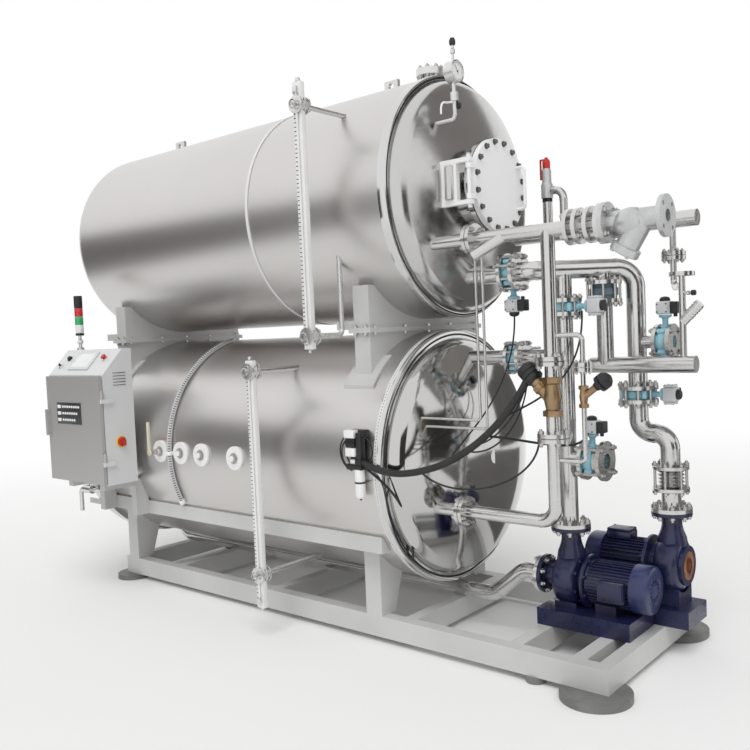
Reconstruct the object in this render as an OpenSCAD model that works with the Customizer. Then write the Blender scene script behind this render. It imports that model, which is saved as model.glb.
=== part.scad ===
// Double-deck retort sterilizer: a hot-water tank over a retort on one base frame.
// +X runs to the pipework end, -Y is the control side, +Z is up, and the floor is z = 0.
// A place is measured along X, a sideways place along Y and a height along Z.

/* [Base frame] */
// Length of the base frame along X
base_len = 3380; // [3200:10:3600]
// Width of the base frame along Y
base_w = 940; // [900:10:1000]
// Height of the base beams
beam_h = 105; // [90:5:120]
// Width of a base beam
beam_w = 65; // [50:5:80]
// Places of the inner cross beams
cross_xs = [-1180, -300, 640, 1230]; // [-1500:10:1400]
// Gap between the two beams at the pump end
end_gap = 58; // [40:2:80]
// Thickness of the round foot pads
pad_h = 30; // [20:5:40]
// Diameter of the foot pads at the pump end
pad_d = 300; // [240:10:320]
// Diameter of the foot pads at the door end
far_pad_d = 210; // [160:10:240]
// Diameter of the small middle feet
small_pad_d = 90; // [70:5:110]
// Distance of the large pads from the ends of the frame
pad_in = [65, 45]; // [30:5:90]
// Distance of the large pads from the sides of the frame
pad_side = 20; // [10:2:30]
// Distance of the small feet from the pump end of the frame
small_pad_in = 350; // [300:10:400]

/* [Retort] */
// Gap between the base beams and the retort
retort_gap = 115; // [105:1:125]
// Outer radius of the retort's cladding
retort_r = 640; // [630:5:645]
// Door end of the retort's shell
retort_x0 = -1760; // [-1780:10:-1740]
// Pipework end of the retort's shell
retort_x1 = 640; // [630:5:650]
// How far the retort's rim stands out past the cladding
retort_rim = 10; // [6:1:14]
// How far the clamp ring of the door stands out past the cladding
door_rim = 30; // [20:2:40]
// Length of the clamp ring of the door
door_ring_l = 80; // [60:5:90]

/* [Tank] */
// Gap between the retort and the tank above it
vessel_gap = 70; // [60:1:80]
// Outer radius of the tank's cladding
tank_r = 600; // [590:5:605]
// Door end of the tank's shell
tank_x0 = -1780; // [-1800:10:-1760]
// Pipework end of the tank's shell
tank_x1 = 700; // [690:5:710]
// Length of the straight skirt of the tank's door-end head
tank_skirt = 20; // [15:1:30]
// How far the tank's rim stands out past the cladding
tank_rim = 5; // [4:1:10]
// How far the tank's polished head lies inside the cladding radius
tank_head_in = 25; // [20:1:30]

/* [Vessel walls] */
// Wall of the shells with insulation and cladding
wall = 50; // [40:2:60]
// Length of the polished rim rings
ring_l = 45; // [40:1:50]
// Length of a rim ring past the start of the head's curve
ring_lip = 10; // [6:1:14]
// Height of the rim ring face inside the cladding radius
ring_face = 40; // [30:2:50]
// Plate thickness of the dished heads
head_t = 12; // [8:1:16]
// Crown radius of the dished heads
crown_r = 1150; // [1100:10:1200]
// Knuckle radius of the dished heads
knuckle_r = 90; // [80:2:100]
// Place of the seam band along the tank
band_x = -195; // [-300:5:-100]
// Width of the seam band
band_w = 18; // [12:1:30]
// Thickness of the seam band
band_t = 4; // [2:0.5:5]

/* [Saddles] */
// Place of the saddles at the pipework end
saddle_x1 = 455; // [440:5:470]
// Place of the saddles at the door end
saddle_x0 = -1605; // [-1620:5:-1590]
// Thickness of a saddle along X
saddle_t = 100; // [80:5:120]
// Height of the saddles' bolted joint above the retort
split_up = 23; // [18:1:28]
// Thickness of the plates at the bolted joint
split_plate = 12; // [8:1:14]
// How far the plates at the bolted joint stand out
split_out = 20; // [15:1:25]
// Length of the bar beside the joint
split_bar_l = 115; // [100:5:130]
// Side of that bar
split_bar = 42; // [36:1:48]
// Sideways reach of the upper saddle half on the tank
saddle_top_y = 422; // [410:2:440]
// Thickness of the pads between the saddles and the retort
saddle_pad_t = 10; // [6:1:12]
// How far those pads stand out past the saddle
saddle_pad_out = 45; // [30:5:60]
// Depth of those pads along the curve, seen from above
saddle_pad_d = 150; // [120:5:180]
// Width of a lower post on the base beam
post_w = 110; // [90:5:130]
// Width of a lower post at its top
post_top_w = 220; // [200:5:240]
// Height of the inner edge of a lower post
post_h = 470; // [440:5:480]

/* [Side rail] */
// Bottom of the side rail from the retort axis
rail_dz = -408; // [-413:1:-403]
// Height of the side rail
rail_h = 80; // [60:5:90]
// Distance of the rail's outer face inside the cladding radius
rail_in = 78; // [70:1:84]
// Gap between the side rail and the clamp ring of the door
rail_gap = 4; // [3:0.5:6]
// Door end of the side rail
rail_x0 = -1950; // [-2000:10:-1900]
// Pipework end of the side rail
rail_x1 = 600; // [580:5:620]

/* [Manway] */
// Sideways place of the manway on the tank's head
manway_y = -100; // [-110:2:-90]
// Height of the manway's middle from the tank axis
manway_dz = 10; // [5:1:15]
// Radius of the manway cover and flange
cover_r = 221; // [215:1:224]
// Thickness of the manway cover
cover_t = 28; // [22:1:32]
// Thickness of the manway flange
manway_flange_t = 25; // [20:1:30]
// Inner radius of the manway neck
manway_bore = 178; // [170:1:182]
// Wall of the manway neck
manway_wall = 12; // [8:1:14]
// Face of the manway flange
manway_x = 1010; // [1005:1:1015]
// How far into the head's curve the neck reaches
neck_in = 150; // [120:5:160]
// Gap between the cover and the flange, taken up by the gasket
gasket_gap = 5; // [5:0.5:8]
// Radius of the hinge pin of the manway
manway_pin_r = 9; // [7:0.5:11]
// Distance of the hinge pin from the cover's edge
manway_pin_out = 24; // [22:1:28]
// Half thickness of the hinge plates of the manway
hinge_half = 14; // [12:1:16]
// Distance of the hinge ears from the manway's middle
ear_z = 95; // [90:1:100]
// Height of a hinge ear
ear_h = 20; // [16:1:24]
// Distance of the cover's arms from the manway's middle
arm_z = 70; // [66:1:74]
// Height of a cover arm
arm_h = 24; // [20:1:26]
// How far the cover's arms reach over the cover
arm_over = 71; // [60:1:90]
// How far the hinge plate reaches back from the pin
hinge_back = 170; // [160:5:190]
// Distance of the hinge plate's free edge from the pin
hinge_free = 60; // [50:5:70]
// Half length of the hinge pin
pin_half = 125; // [118:1:135]
// Distance of the cover's handle from its middle
handle_y = 150; // [140:5:160]
// Half height of the cover's handle
handle_half = 100; // [80:5:110]
// How far the cover's handle stands out
handle_out = 45; // [35:5:55]
// Radius of the handle bars
handle_r = 8; // [6:0.5:10]

/* [Tank fittings] */
// Place of the nozzle on top of the tank
nozzle_x = 588; // [570:2:600]
// Height of the top nozzle above the tank
nozzle_h = 75; // [60:5:90]
// Radius of the top nozzle's neck
nozzle_r = 45; // [40:1:50]
// Radius of the top nozzle's flange
nozzle_flange_r = 72; // [66:1:80]
// Thickness of the top nozzle's flange
nozzle_flange_t = 35; // [28:1:40]
// Places of the lifting lugs
lug_xs = [-1493, 337]; // [-1600:1:400]
// Width of a lifting lug
lug_w = 90; // [80:2:100]
// Height of a lifting lug above the tank
lug_h = 75; // [65:1:85]
// Thickness of a lifting lug
lug_t = 20; // [16:1:24]
// Radius of the hole in a lifting lug
lug_hole_r = 18; // [16:0.5:20]
// Height of that hole above the tank
lug_hole_z = 45; // [40:1:50]
// Sideways place of the pressure gauge
dial_y = -330; // [-340:2:-320]
// Place of the pressure gauge's stem
dial_x = 955; // [950:1:960]
// Height of the pressure gauge's arm from the tank axis
dial_arm_dz = 300; // [295:1:305]
// Height of the dial's middle from the tank axis
dial_dz = 512; // [507:1:517]
// Radius of the dial
dial_r = 50; // [45:1:55]
// Thickness of the dial
dial_t = 42; // [36:1:46]
// Radius of the gauge tube
gauge_tube_r = 9; // [7:0.5:11]

/* [Level gauges] */
// Distance of the level gauges from the retort
gauge_off = 110; // [100:1:120]
// Width of a level gauge's scale board
board_w = 32; // [28:1:36]
// Thickness of a level gauge's scale board
board_t = 16; // [12:1:20]
// Place of the tank's level gauge
tank_gauge_x = 370; // [364:1:372]
// Bottom and top of the tank's level gauge from the tank axis
tank_gauge_dzs = [-730, 520]; // [-740:1:530]
// Heights of the branches of the tank's level gauge from the tank axis
tank_branch_dzs = [-665, 410]; // [-675:1:420]
// Place of the upturn of the lower branch beside the saddle
upturn_y = -520; // [-530:2:-515]
// Place of the retort's level gauge
retort_gauge_x = -58; // [-70:2:-50]
// Bottom and top of the retort's level gauge from the retort axis
retort_gauge_dzs = [-734, 540]; // [-744:1:550]
// Heights of the branches of the retort's level gauge from the retort axis
retort_branch_dzs = [-560, 480]; // [-570:1:490]
// Radius of the branch pipes of the level gauges
branch_r = 13; // [11:0.5:15]
// Radius of the gauge valves
gauge_valve_r = 32; // [28:1:36]
// Reach of a gauge valve in front of and behind the board
gauge_valve_l = [26, 40]; // [20:1:45]

/* [Retort fittings] */
// Places of the rosettes along the retort
rosette_xs = [-1003, -811, -625, -339]; // [-1100:1:-300]
// Height of the rosettes above the retort's axis
rosette_dz = 6; // [0:1:10]
// Radius of a rosette
rosette_r = 64; // [58:1:68]
// How far a rosette stands out of the cladding
rosette_t = 12; // [8:1:14]
// Radius of the plug in a rosette
plug_r = 16; // [13:1:18]
// How far the plug stands out of the cladding
plug_out = 32; // [26:1:36]
// Radius of the sample cock's body
cock_r = 14; // [12:0.5:16]
// Length of the sample cock's body
cock_l = 40; // [34:1:46]
// Length of the sample cock's stem
cock_stem_l = 20; // [16:1:24]
// Radius of the sample cock's stem
cock_stem_r = 6; // [5:0.5:7]
// Length of the sample cock's lever
cock_lever_l = 180; // [160:2:200]
// Width of the valve levers
lever_w = 18; // [14:1:22]
// Thickness of the valve levers
lever_t = 10; // [6:0.5:12]
// Gap between a lever's hub and the valve body
lever_gap = 5.5; // [5:0.5:7]
// Place of the cable conduit
conduit_x = -907; // [-912:1:-900]
// Radius of the cable conduit
conduit_r = 14; // [12:0.5:16]
// Angle at which the conduit starts, from the horizontal
conduit_a0 = 100; // [95:1:110]
// Angle that the conduit covers
conduit_span = 108; // [100:1:109]
// Place of the drain valve's pipe
drain_x = -1700; // [-1710:2:-1690]
// Distance of the drain valve from the retort
drain_off = 10; // [8:1:14]
// Height of the drain valve from the retort axis
drain_dz = -290; // [-300:1:-280]
// Radius of the drain valve's pipe
drain_r = 14; // [12:0.5:16]
// Radius of the drain valve's body
drain_body_r = 26; // [22:1:30]
// Start and end of the drain valve's body, from the pipe's bend
drain_body = [60, 150]; // [55:1:155]
// Distance of the drain valve's stem from the pipe's bend
drain_stem = 105; // [100:1:110]
// Height of the drain valve's stem above its axis
drain_stem_h = 48; // [44:1:52]
// Radius of the drain valve's stem
drain_stem_r = 7; // [6:0.5:8]
// Length of the drain valve's lever
drain_lever_l = 130; // [110:5:150]
// Distance of the drain outlet from the pipe's bend
drain_out = 200; // [190:5:210]
// Drop of the drain outlet
drain_drop = 150; // [130:5:170]

/* [Cabinet] */
// Width of the control cabinet
cab_w = 600; // [560:10:640]
// Depth of the control cabinet
cab_d = 200; // [190:5:210]
// Right side of the control cabinet
cab_x1 = -1200; // [-1210:5:-1190]
// Distance of the cabinet from the retort
cab_off = 40; // [36:1:46]
// Bottom of the control cabinet from the retort axis
cab_dz0 = -180; // [-185:1:-175]
// Height of the front of the cabinet
cab_front_h = 650; // [620:10:670]
// Height of the back of the cabinet
cab_back_h = 800; // [780:10:830]
// Width of the cabinet's flat top
cab_top_d = 60; // [40:5:80]
// Wall of the cabinet
cab_wall = 14; // [10:1:18]
// Thickness of the cabinet door
cab_door_t = 20; // [16:1:24]
// Edge of the cabinet that the door leaves free
cab_edge = 5; // [3:1:8]
// Distance of the brackets from the cabinet's sides
bracket_in = [150, 100]; // [80:5:170]
// Width of a cabinet bracket
bracket_w = 50; // [40:2:60]
// Height of the flat arm of a cabinet bracket
bracket_h = 40; // [30:2:50]
// Depth of the cabinet brackets on the side rail
bracket_d = 88; // [80:2:100]
// Distance of the brackets' arms from the front of the cabinet
bracket_front = 20; // [10:2:30]
// Gap between the cabinet and its door
cab_gap = 5; // [5:0.5:8]
// Radius of the cabinet's hinge pins
cab_pin_r = 5; // [4:0.5:6]
// Radius of the door's hinge knuckles
knuckle_out = 9; // [8:0.5:10]
// Distance of the hinge pins from the cabinet's side
cab_pin_out = 8; // [8:0.5:10]
// Distance of the hinges from the cabinet's edges
cab_hinge_in = 140; // [120:5:160]
// Place of the door handle from the cabinet's left side
pull_x = 15; // [10:1:20]
// Width, depth and height of the door handle
pull = [20, 25, 160]; // [15:1:180]
// Height of the door handle above the cabinet's bottom
pull_z = 280; // [260:5:300]
// Place and size of the screen on the console
screen = [180, 40, 220, 140]; // [20:5:400]
// Thickness of the screen's frame
screen_t = 10; // [8:1:14]
// Places of the push buttons on the console
buttons = [[110, 130], [70, 70], [500, 130]]; // [0:5:560]
// Radius and height of the push buttons
button = [18, 24]; // [14:1:28]
// Radius and height of the main switch on the cabinet's side
switch = [34, 24]; // [20:1:40]
// Place of the main switch from the cabinet's front and bottom
switch_at = [100, 250]; // [80:5:280]
// Place of the signal tower from the cabinet's left side
tower_x = 100; // [80:5:120]
// Radius and height of the signal tower's foot
tower_foot = [22, 16]; // [14:1:26]
// Radius and height of the signal tower's stem
tower_stem = [10, 90]; // [8:1:100]
// Radius and height of the lamps of the signal tower
tower_lamps = [26, 250]; // [22:1:270]

/* [Air valves] */
// Place of the air valve bank
bank_x = 500; // [490:2:510]
// Distance of the air valve bank from the retort
bank_off = 50; // [46:1:56]
// Bottom of the air valve bank from the retort axis
bank_dz = 10; // [0:1:20]
// Size of the air valve bank
bank_size = [100, 90, 190]; // [60:5:220]
// Place of the air filter's bowl
bowl_x = 572; // [566:1:578]
// Distance of the bowl's middle from the retort
bowl_off = 24; // [20:1:28]
// Bottom of the air filter's bowl from the retort axis
bowl_dz = -130; // [-135:1:-125]
// Radius of the air filter's bowl
bowl_r = 26; // [22:1:30]
// Radius of the cable loom
loom_r = 11; // [9:0.5:13]
// Height of the cable loom's start above the valve bank's bottom
loom_dz = 45; // [40:1:50]
// Points of the cable loom after its start
loom_points = [[760, -664, 900], [1010, -560, 960], [1250, -455, 1180], [1325, -378, 1325]]; // [-700:1400]

/* [Pumps] */
// Sideways place of the front pump's shaft
front_pump_y = 15; // [12:1:18]
// Height of the front pump's shaft
front_pump_z = 335; // [330:1:340]
// Sideways place of the rear pump's shaft
rear_pump_y = 260; // [258:1:263]
// Height of the rear pump's shaft
rear_pump_z = 400; // [395:1:405]
// Outer radius of the pump volutes
volute_r = 125; // [115:1:128]
// Width of a pump volute
volute_w = 110; // [90:5:120]
// Radius of the pump motors
motor_r = 104; // [100:1:108]
// Length of the pump motors
motor_l = 315; // [300:5:330]
// How far the motor's flange stands out past the motor
motor_rim = 20; // [14:1:24]
// Length of the fan cover
fan_l = 80; // [70:2:90]
// How far the fan cover stands out past the motor
fan_rim = 7; // [5:1:9]
// Distance of a motor's flange from the pump's discharge
motor_off = 90; // [86:1:100]
// Radius of the lantern between a casing and its motor
lantern_r = 78; // [70:1:86]
// Size of a terminal box
terminal = [120, 90, 50]; // [40:5:130]
// How deep a terminal box sits in the motor's outline
terminal_in = 10; // [8:1:14]
// Height of a pump's discharge flange above its shaft
discharge_h = 250; // [245:1:262]
// Radius of a pump's discharge neck
neck_r = 46; // [42:1:50]
// Radius of a pump's suction neck
suction_neck_r = 52; // [48:1:56]
// Distance of the front pump's suction face from its discharge
suction_l = 145; // [140:1:150]
// Distance of the rear pump's suction face from its discharge
rear_suction_l = 75; // [72:1:80]
// Height of a pump's plinth
plinth_h = 80; // [60:5:90]
// Width of a pump's plinth on each side of the shaft
plinth_half = 118; // [110:1:119]
// Width of the front pump's plinth towards the control side
plinth_front = 155; // [140:5:165]
// Overhang of a plinth past the discharge
plinth_over = 110; // [100:5:115]
// Length of a plinth on the motor's side of the discharge
plinth_l = 345; // [330:5:350]
// Half width of the seats on a plinth
seat_half = 80; // [70:5:90]
// Length of a seat on a plinth
seat_l = 100; // [80:5:110]
// Distance of the motor's seat from the discharge
motor_seat = 200; // [180:5:220]

/* [Pipes] */
// Outside radius of the large pipes
pipe_l = 44.5; // [40:0.5:46]
// Outside radius of the medium pipes
pipe_m = 38; // [34:0.5:40]
// Outside radius of the small pipes
pipe_s = 30; // [27:0.5:32]
// Radius of the flanges on large pipes
flange_l = 92.5; // [88:0.5:95]
// Radius of the flanges on medium pipes
flange_s = 82.5; // [78:0.5:84]
// Radius of the flanges on small pipes
flange_xs = 70; // [66:0.5:74]
// Thickness of the pipe flanges
flange_t = 18; // [14:1:20]
// Gap in a flange pair, where the gasket shows
joint_gap = 3; // [2:0.5:4]
// Bend radius over pipe radius, for the small pipes
bend_ratio = 2.5; // [2.2:0.1:2.8]
// Bend radius over pipe radius, for the large pipes
elbow_ratio = 2.1; // [2:0.05:2.2]
// Sideways place of the steam pipe
steam_y = -375; // [-380:1:-370]
// Height of the steam pipe from the tank axis
steam_dz = -260; // [-265:1:-255]
// Place of the flange pair on the steam nozzle
steam_flange_x = 1055; // [1050:1:1060]
// Places of the three union rings on the steam pipe
union_xs = [1550, 1590, 1640]; // [1540:1:1650]
// Radius of the union rings
union_r = 74.5; // [70:0.5:78]
// Point where the lateral leaves the steam pipe
lateral_x = 1229; // [1220:1:1240]
// Capped end of the lateral, from its root on the steam pipe
lateral_to = [-132, -70, -85]; // [-140:1:-60]
// Radius of the lateral
lateral_r = 24; // [21:0.5:26]
// Place of the steam riser
riser_x = 1430; // [1420:1:1440]
// Height of the flange pair on the steam riser from the retort axis
riser_flange_dz = 497; // [492:1:502]
// Height of the lower flange pair on the steam riser from the retort axis
riser_low_dz = 170; // [165:1:175]
// Height of the retort's lower nozzle from the retort axis
lower_nozzle_dz = -196; // [-201:1:-191]
// Place of the flange pair on the lower nozzle
lower_flange_x = 960; // [950:2:970]
// Place of the bypass
bypass_x = 1574; // [1565:1:1580]
// Bottom and top of the bypass from the retort axis
bypass_dzs = [75, 605]; // [65:1:615]
// Radius of the bypass
bypass_r = 10.5; // [9:0.5:12]
// Height of the union on the bypass from the retort axis
bypass_union_dz = 471; // [466:1:476]
// Radius of the union on the bypass
bypass_union_r = 38; // [34:1:42]
// Heights of the impulse lines' entries into the retort's head from the retort axis
impulse_dzs = [240, 200]; // [190:1:250]
// Places of the impulse lines
impulse_xs = [1106, 1132]; // [1100:1:1140]
// Radius of the impulse lines
impulse_r = 6; // [5:0.5:7]
// Radius of the cocks on the impulse lines
impulse_cock_r = 11; // [9:0.5:12]
// Height of the cocks on the impulse lines from the tank axis
impulse_cock_dz = -460; // [-465:1:-455]
// Sideways place of the circulation nozzle on the tank
circ_y = -100; // [-105:1:-95]
// Height of the circulation pipe from the tank axis
circ_dz = -405; // [-410:1:-400]
// Place of the valve on the circulation nozzle
circ_valve_x = 1095; // [1090:1:1096]
// Place of the front pump's discharge
front_riser_x = 1295; // [1292:1:1298]
// Height of the valve on the front riser from the tank axis
front_valve_dz = -580; // [-585:1:-575]
// Place of the return riser
return_x = 1432; // [1428:1:1436]
// Bottom and top of the check valve on the return riser from the tank axis
check_dzs = [-550, -480]; // [-560:1:-470]
// Height of the valve on the rear riser from the retort axis
rear_valve_dz = 305; // [300:1:310]
// Height of the branch on the rear riser from the retort axis
branch_dz = 550; // [545:1:555]
// Place of the branch valve
branch_valve_x = 1680; // [1676:1:1684]
// Height of the branch on the front riser from the retort axis
drain_branch_dz = 15; // [10:1:20]
// Place of the valve on the front riser's branch
drain_branch_x = 1418; // [1415:1:1421]
// Height of the spray pipe into the retort's head from the retort axis
spray_dz = 498; // [493:1:503]
// Place of the valve on the spray pipe
spray_valve_x = 1040; // [1035:1:1045]
// Height of the lower header from the retort axis
header_dz = 450; // [445:1:455]
// Overhang of the lower header behind the return riser
header_back = 70; // [60:2:80]
// End of the lower header
header_x1 = 1855; // [1840:5:1870]
// Sideways place of the vent header
vent_y = 310; // [305:1:315]
// Height of the vent header from the tank axis
vent_dz = -200; // [-205:1:-195]
// End of the vent header
vent_x1 = 1820; // [1800:5:1840]
// Place of the safety valve on the vent header
safety_x = 1068; // [1064:1:1075]
// Height of the safety valve's stub
safety_stub_h = 165; // [155:1:175]
// Radius of the safety valve's stub
safety_stub_r = 24; // [20:1:28]
// Radius of the safety valve's body and cap
safety_r = [30, 20]; // [16:1:34]
// Height of the safety valve's body and cap
safety_h = [165, 60]; // [50:1:175]
// Distance of the safety valve's outlet pipe
outlet_dx = 90; // [84:1:96]
// Height of the safety valve's outlet
outlet_h = 220; // [210:1:230]
// Radius of the safety valve's outlet pipe
outlet_r = 20; // [17:1:22]
// Place of the small drop line on the vent header
drop_x = 1705; // [1700:1:1710]
// Place of the drop line on the lower header
drop_end_x = 1800; // [1795:1:1805]
// Height of the drop line's side run from the tank axis
drop_dz = -510; // [-515:1:-505]
// Radius of the drop line
drop_r = 15; // [13:0.5:17]
// Height of the flange pair on the drop line from the tank axis
drop_flange_dz = -365; // [-370:1:-360]
// Radius of the flanges on the drop line
drop_flange_r = 55; // [50:1:60]
// Height of the flanged stub on the drop line from the tank axis
stub_dz = -450; // [-455:1:-445]
// Height of the angle valve on the drop line from the retort axis
angle_valve_dz = 640; // [635:1:645]
// Reach of the angle valve on the drop line
angle_valve_l = 110; // [100:2:120]
// Radius of the angle valve's body on the drop line
angle_valve_r = 22; // [19:1:25]
// Height of the long suction pipe under the retort
suction_z = 182; // [180:1:184]
// Door end of the long suction pipe
suction_x0 = -1715; // [-1725:5:-1700]
// Start and end of the suction pipe's rise, from the pump's face
suction_rise = [290, 115]; // [105:1:300]
// Sideways offset of the rear pump's discharge from its riser
s_bend = 147; // [145:1:150]
// Height of the S bend below the rear valve
s_bend_z = 1010; // [1000:2:1020]
// Bend radius over pipe radius, for the S bend
s_ratio = 1.57; // [1.5:0.01:1.6]
// Bottom and top of the bellows joint
bellows_zs = [745, 865]; // [740:1:870]
// Radius of the bellows
bellows_r = 56; // [52:1:60]

/* [Valves] */
// Thickness of a butterfly valve body
wafer_t = 46; // [40:1:50]
// Radius of a butterfly valve body
wafer_r = 66; // [60:1:70]
// Height of a butterfly valve's stem above the pipe's axis
stem_h = 125; // [115:1:135]
// Radius of a butterfly valve's stem
stem_r = 14; // [12:1:16]
// Radius and thickness of a butterfly valve's top plate
top_plate = [28, 12]; // [10:1:32]
// Size of an actuator box, narrow, wide and high
actuator = [64, 90, 62]; // [50:2:96]
// Radius and height of an actuator's cap
actuator_cap = [24, 22]; // [18:1:28]
// Ends of the strainer along X
strainer_xs = [1690, 1945]; // [1680:5:1950]
// Radius of the strainer's body
strainer_r = 42; // [38:1:46]
// Start of the strainer's leg
leg_from = [1850, 10]; // [0:5:1860]
// End of the strainer's leg
leg_to = [1765, -125]; // [-130:5:1770]
// Radius of the strainer's leg
leg_r = 48; // [44:1:52]
// Bore of the strainer's open flange
strainer_bore = 25; // [22:0.5:26]
// Depth of that bore
strainer_bore_l = 120; // [100:5:130]
// Bore of the open outlet flanges, branch and drain
outlet_bores = [27, 35]; // [24:0.5:38]
// Bolt circles of the open flanges, small and large
bolt_circles = [125, 145]; // [120:1:150]
// Length of the open outlets, branch and drain
outlet_ls = [18, 46]; // [14:1:50]
// Radius of the bolt holes in the open flanges
bolt_hole_r = 9; // [8:0.5:10]
// Bottom and top of the brass valve on the riser from the retort axis
brass_dzs = [260, 430]; // [250:1:440]
// Radius of the brass valve's body and branch
brass_r = [40, 30]; // [26:1:44]
// Height of the brass valve's branch from the retort axis
brass_root = 330; // [325:1:335]
// Seat of the brass valve's actuator, from the branch's root
brass_seat = [-75, 80]; // [-80:1:85]
// Length of the actuators on the brass valves, riser and bypass
brass_actuator_l = [95, 80]; // [75:1:100]
// Radius of the actuators on the brass valves, riser and bypass
brass_actuator_r = [44, 36]; // [30:1:48]
// Bottom and top of the brass valve on the bypass from the retort axis
small_brass_dzs = [300, 395]; // [290:1:405]
// Radius of the small brass valve's body and branch
small_brass_r = [19, 15]; // [12:1:22]
// Seat of the actuator on the small brass valve, from its root
small_seat = [55, 40]; // [36:1:60]
// Height of the weld beads on the pipes
bead_h = 1; // [0.6:0.1:1.5]
// Length of the weld beads on the pipes
bead_l = 6; // [4:1:8]
// Gap that curved seats keep
seat_gap = 0.3; // [0.2:0.05:0.5]
// Gap around hinge pins
pin_gap = 0.3; // [0.2:0.05:0.5]

/* [Hidden] */
$fn = 96;

stainless = "silver";
frame_grey = "darkgray";
pump_blue = "midnightblue";
valve_blue = "lightblue";
// Length by which a cutting tool passes the piece it cuts
past = 1;
// Facets of the large cutting tools
fine = 360;

beam_top = pad_h + beam_h;
half_len = base_len / 2;
half_w = base_w / 2;
retort_z = beam_top + retort_gap + retort_r;
tank_z = retort_z + retort_r + vessel_gap + tank_r;
saddle_split = retort_z + retort_r + split_up;
saddle_low = floor(retort_z + sqrt(pow(retort_r + saddle_pad_t, 2) - pow(half_w, 2)));
saddle_top = tank_z - sqrt(pow(tank_r, 2) - pow(saddle_top_y, 2));
gauge_y = -retort_r - gauge_off;
cab_back = -retort_r - cab_off;
rail_y = retort_r - rail_in;
rail_z = retort_z + rail_dz;
manway_z = tank_z + manway_dz;
dial_arm_z = tank_z + dial_arm_dz;
dial_z = tank_z + dial_dz;
tank_gauge_zs = [for (dz = tank_gauge_dzs) tank_z + dz];
tank_branch_zs = [for (dz = tank_branch_dzs) tank_z + dz];
retort_gauge_zs = [for (dz = retort_gauge_dzs) retort_z + dz];
retort_branch_zs = [for (dz = retort_branch_dzs) retort_z + dz];
cock_z = retort_z + rosette_dz;
cab_z0 = retort_z + cab_dz0;
bowl_z = retort_z + bowl_dz;
steam_z = tank_z + steam_dz;
riser_flange_z = retort_z + riser_flange_dz;
riser_low_z = retort_z + riser_low_dz;
lower_nozzle_z = retort_z + lower_nozzle_dz;
bypass_zs = [for (dz = bypass_dzs) retort_z + dz];
bypass_union_z = retort_z + bypass_union_dz;
impulse_zs = [for (dz = impulse_dzs) retort_z + dz];
impulse_cock_z = tank_z + impulse_cock_dz;
circ_z = tank_z + circ_dz;
front_valve_z = tank_z + front_valve_dz;
check_zs = [for (dz = check_dzs) tank_z + dz];
rear_valve_z = retort_z + rear_valve_dz;
branch_z = retort_z + branch_dz;
drain_branch_z = retort_z + drain_branch_dz;
spray_z = retort_z + spray_dz;
header_z = retort_z + header_dz;
vent_z = tank_z + vent_dz;
drop_z = tank_z + drop_dz;
drop_flange_z = tank_z + drop_flange_dz;
stub_z = tank_z + stub_dz;
angle_valve_z = retort_z + angle_valve_dz;
brass_zs = [for (dz = brass_dzs) retort_z + dz];
small_brass_zs = [for (dz = small_brass_dzs) retort_z + dz];
drain_at = [drain_x, -retort_r - drain_off, retort_z + drain_dz];
bank_low = [bank_x, -retort_r - bank_off, retort_z + bank_dz];
bowl_at = [bowl_x, -retort_r - bowl_off];
loom_start = [bank_x + bank_size.x, bowl_at.y, bank_low.z + loom_dz];
lateral_root = [lateral_x, steam_y, steam_z];
lateral_end = lateral_root + lateral_to;
brass_from = [riser_x, steam_y, retort_z + brass_root];
brass_to = brass_from + [brass_seat.x, 0, brass_seat.y];
small_from = [bypass_x, steam_y, (small_brass_zs[0] + small_brass_zs[1]) / 2];
small_to = small_from + [small_seat.x, 0, small_seat.y];
retort_head_r = retort_r - ring_face;
retort_head_x = retort_x1 + ring_l - ring_lip;
tank_head_r = tank_r - tank_head_in;
tank_head_x = tank_x1 + ring_l - ring_lip;

manway_pin_y = manway_y - cover_r - manway_pin_out;
manway_pin_x = manway_x + gasket_gap + cover_t / 2;

cock_x = rosette_xs[0];
cock_y = -retort_r - plug_out;

cab_x0 = cab_x1 - cab_w;
cab_front = cab_back - cab_d;
cab_pin_x = cab_x1 + cab_pin_out;
cab_pin_y = cab_front - cab_gap - cab_door_t / 2 - cab_pin_r / 2;
cab_hinge_zs = [cab_z0 + cab_hinge_in, cab_z0 + cab_front_h - cab_hinge_in];
console_tilt = atan2(cab_back_h - cab_front_h, cab_d - cab_top_d);

rear_riser_x = front_riser_x + (rear_pump_y - front_pump_y);
rear_discharge_x = rear_riser_x + s_bend;
return_y = front_pump_y + (return_x - front_riser_x);
circ_bend_x = front_riser_x - (front_pump_y - circ_y);

function crown_d(a) = sqrt(pow(crown_r - knuckle_r, 2) - pow(a - knuckle_r, 2));
function unit(v) = v / norm(v);
function side_of(u) = abs(u.z) < 0.9 ? unit(cross([0, 0, 1], u)) : [1, 0, 0];
function turn(a, b, c) = acos(unit(b - a) * unit(c - b));
function trim_at(pts, i, bend) =
  i == 0 || i == len(pts) - 1 ? 0 : bend * tan(turn(pts[i - 1], pts[i], pts[i + 1]) / 2);

// Places the children at a point with their z axis along a direction
module along(a, u) {
  ex = side_of(u);
  ey = cross(u, ex);
  multmatrix([[ex.x, ey.x, u.x, a.x], [ex.y, ey.y, u.y, a.y], [ex.z, ey.z, u.z, a.z], [0, 0, 0, 1]])
    children();
}

module rod(a, b, r) {
  along(a, unit(b - a)) cylinder(r = r, h = norm(b - a));
}

// A rod along Z at a place in plan
module upright(at, z0, z1, r) {
  rod([at.x, at.y, z0], [at.x, at.y, z1], r);
}

// A rod along X at a place across
module level(x0, x1, at, r) {
  rod([x0, at.x, at.y], [x1, at.x, at.y], r);
}

module tube(a, b, r, bore) {
  along(a, unit(b - a)) difference() {
    cylinder(r = r, h = norm(b - a));
    translate([0, 0, -past]) cylinder(r = bore, h = norm(b - a) + 2 * past);
  }
}

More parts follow.
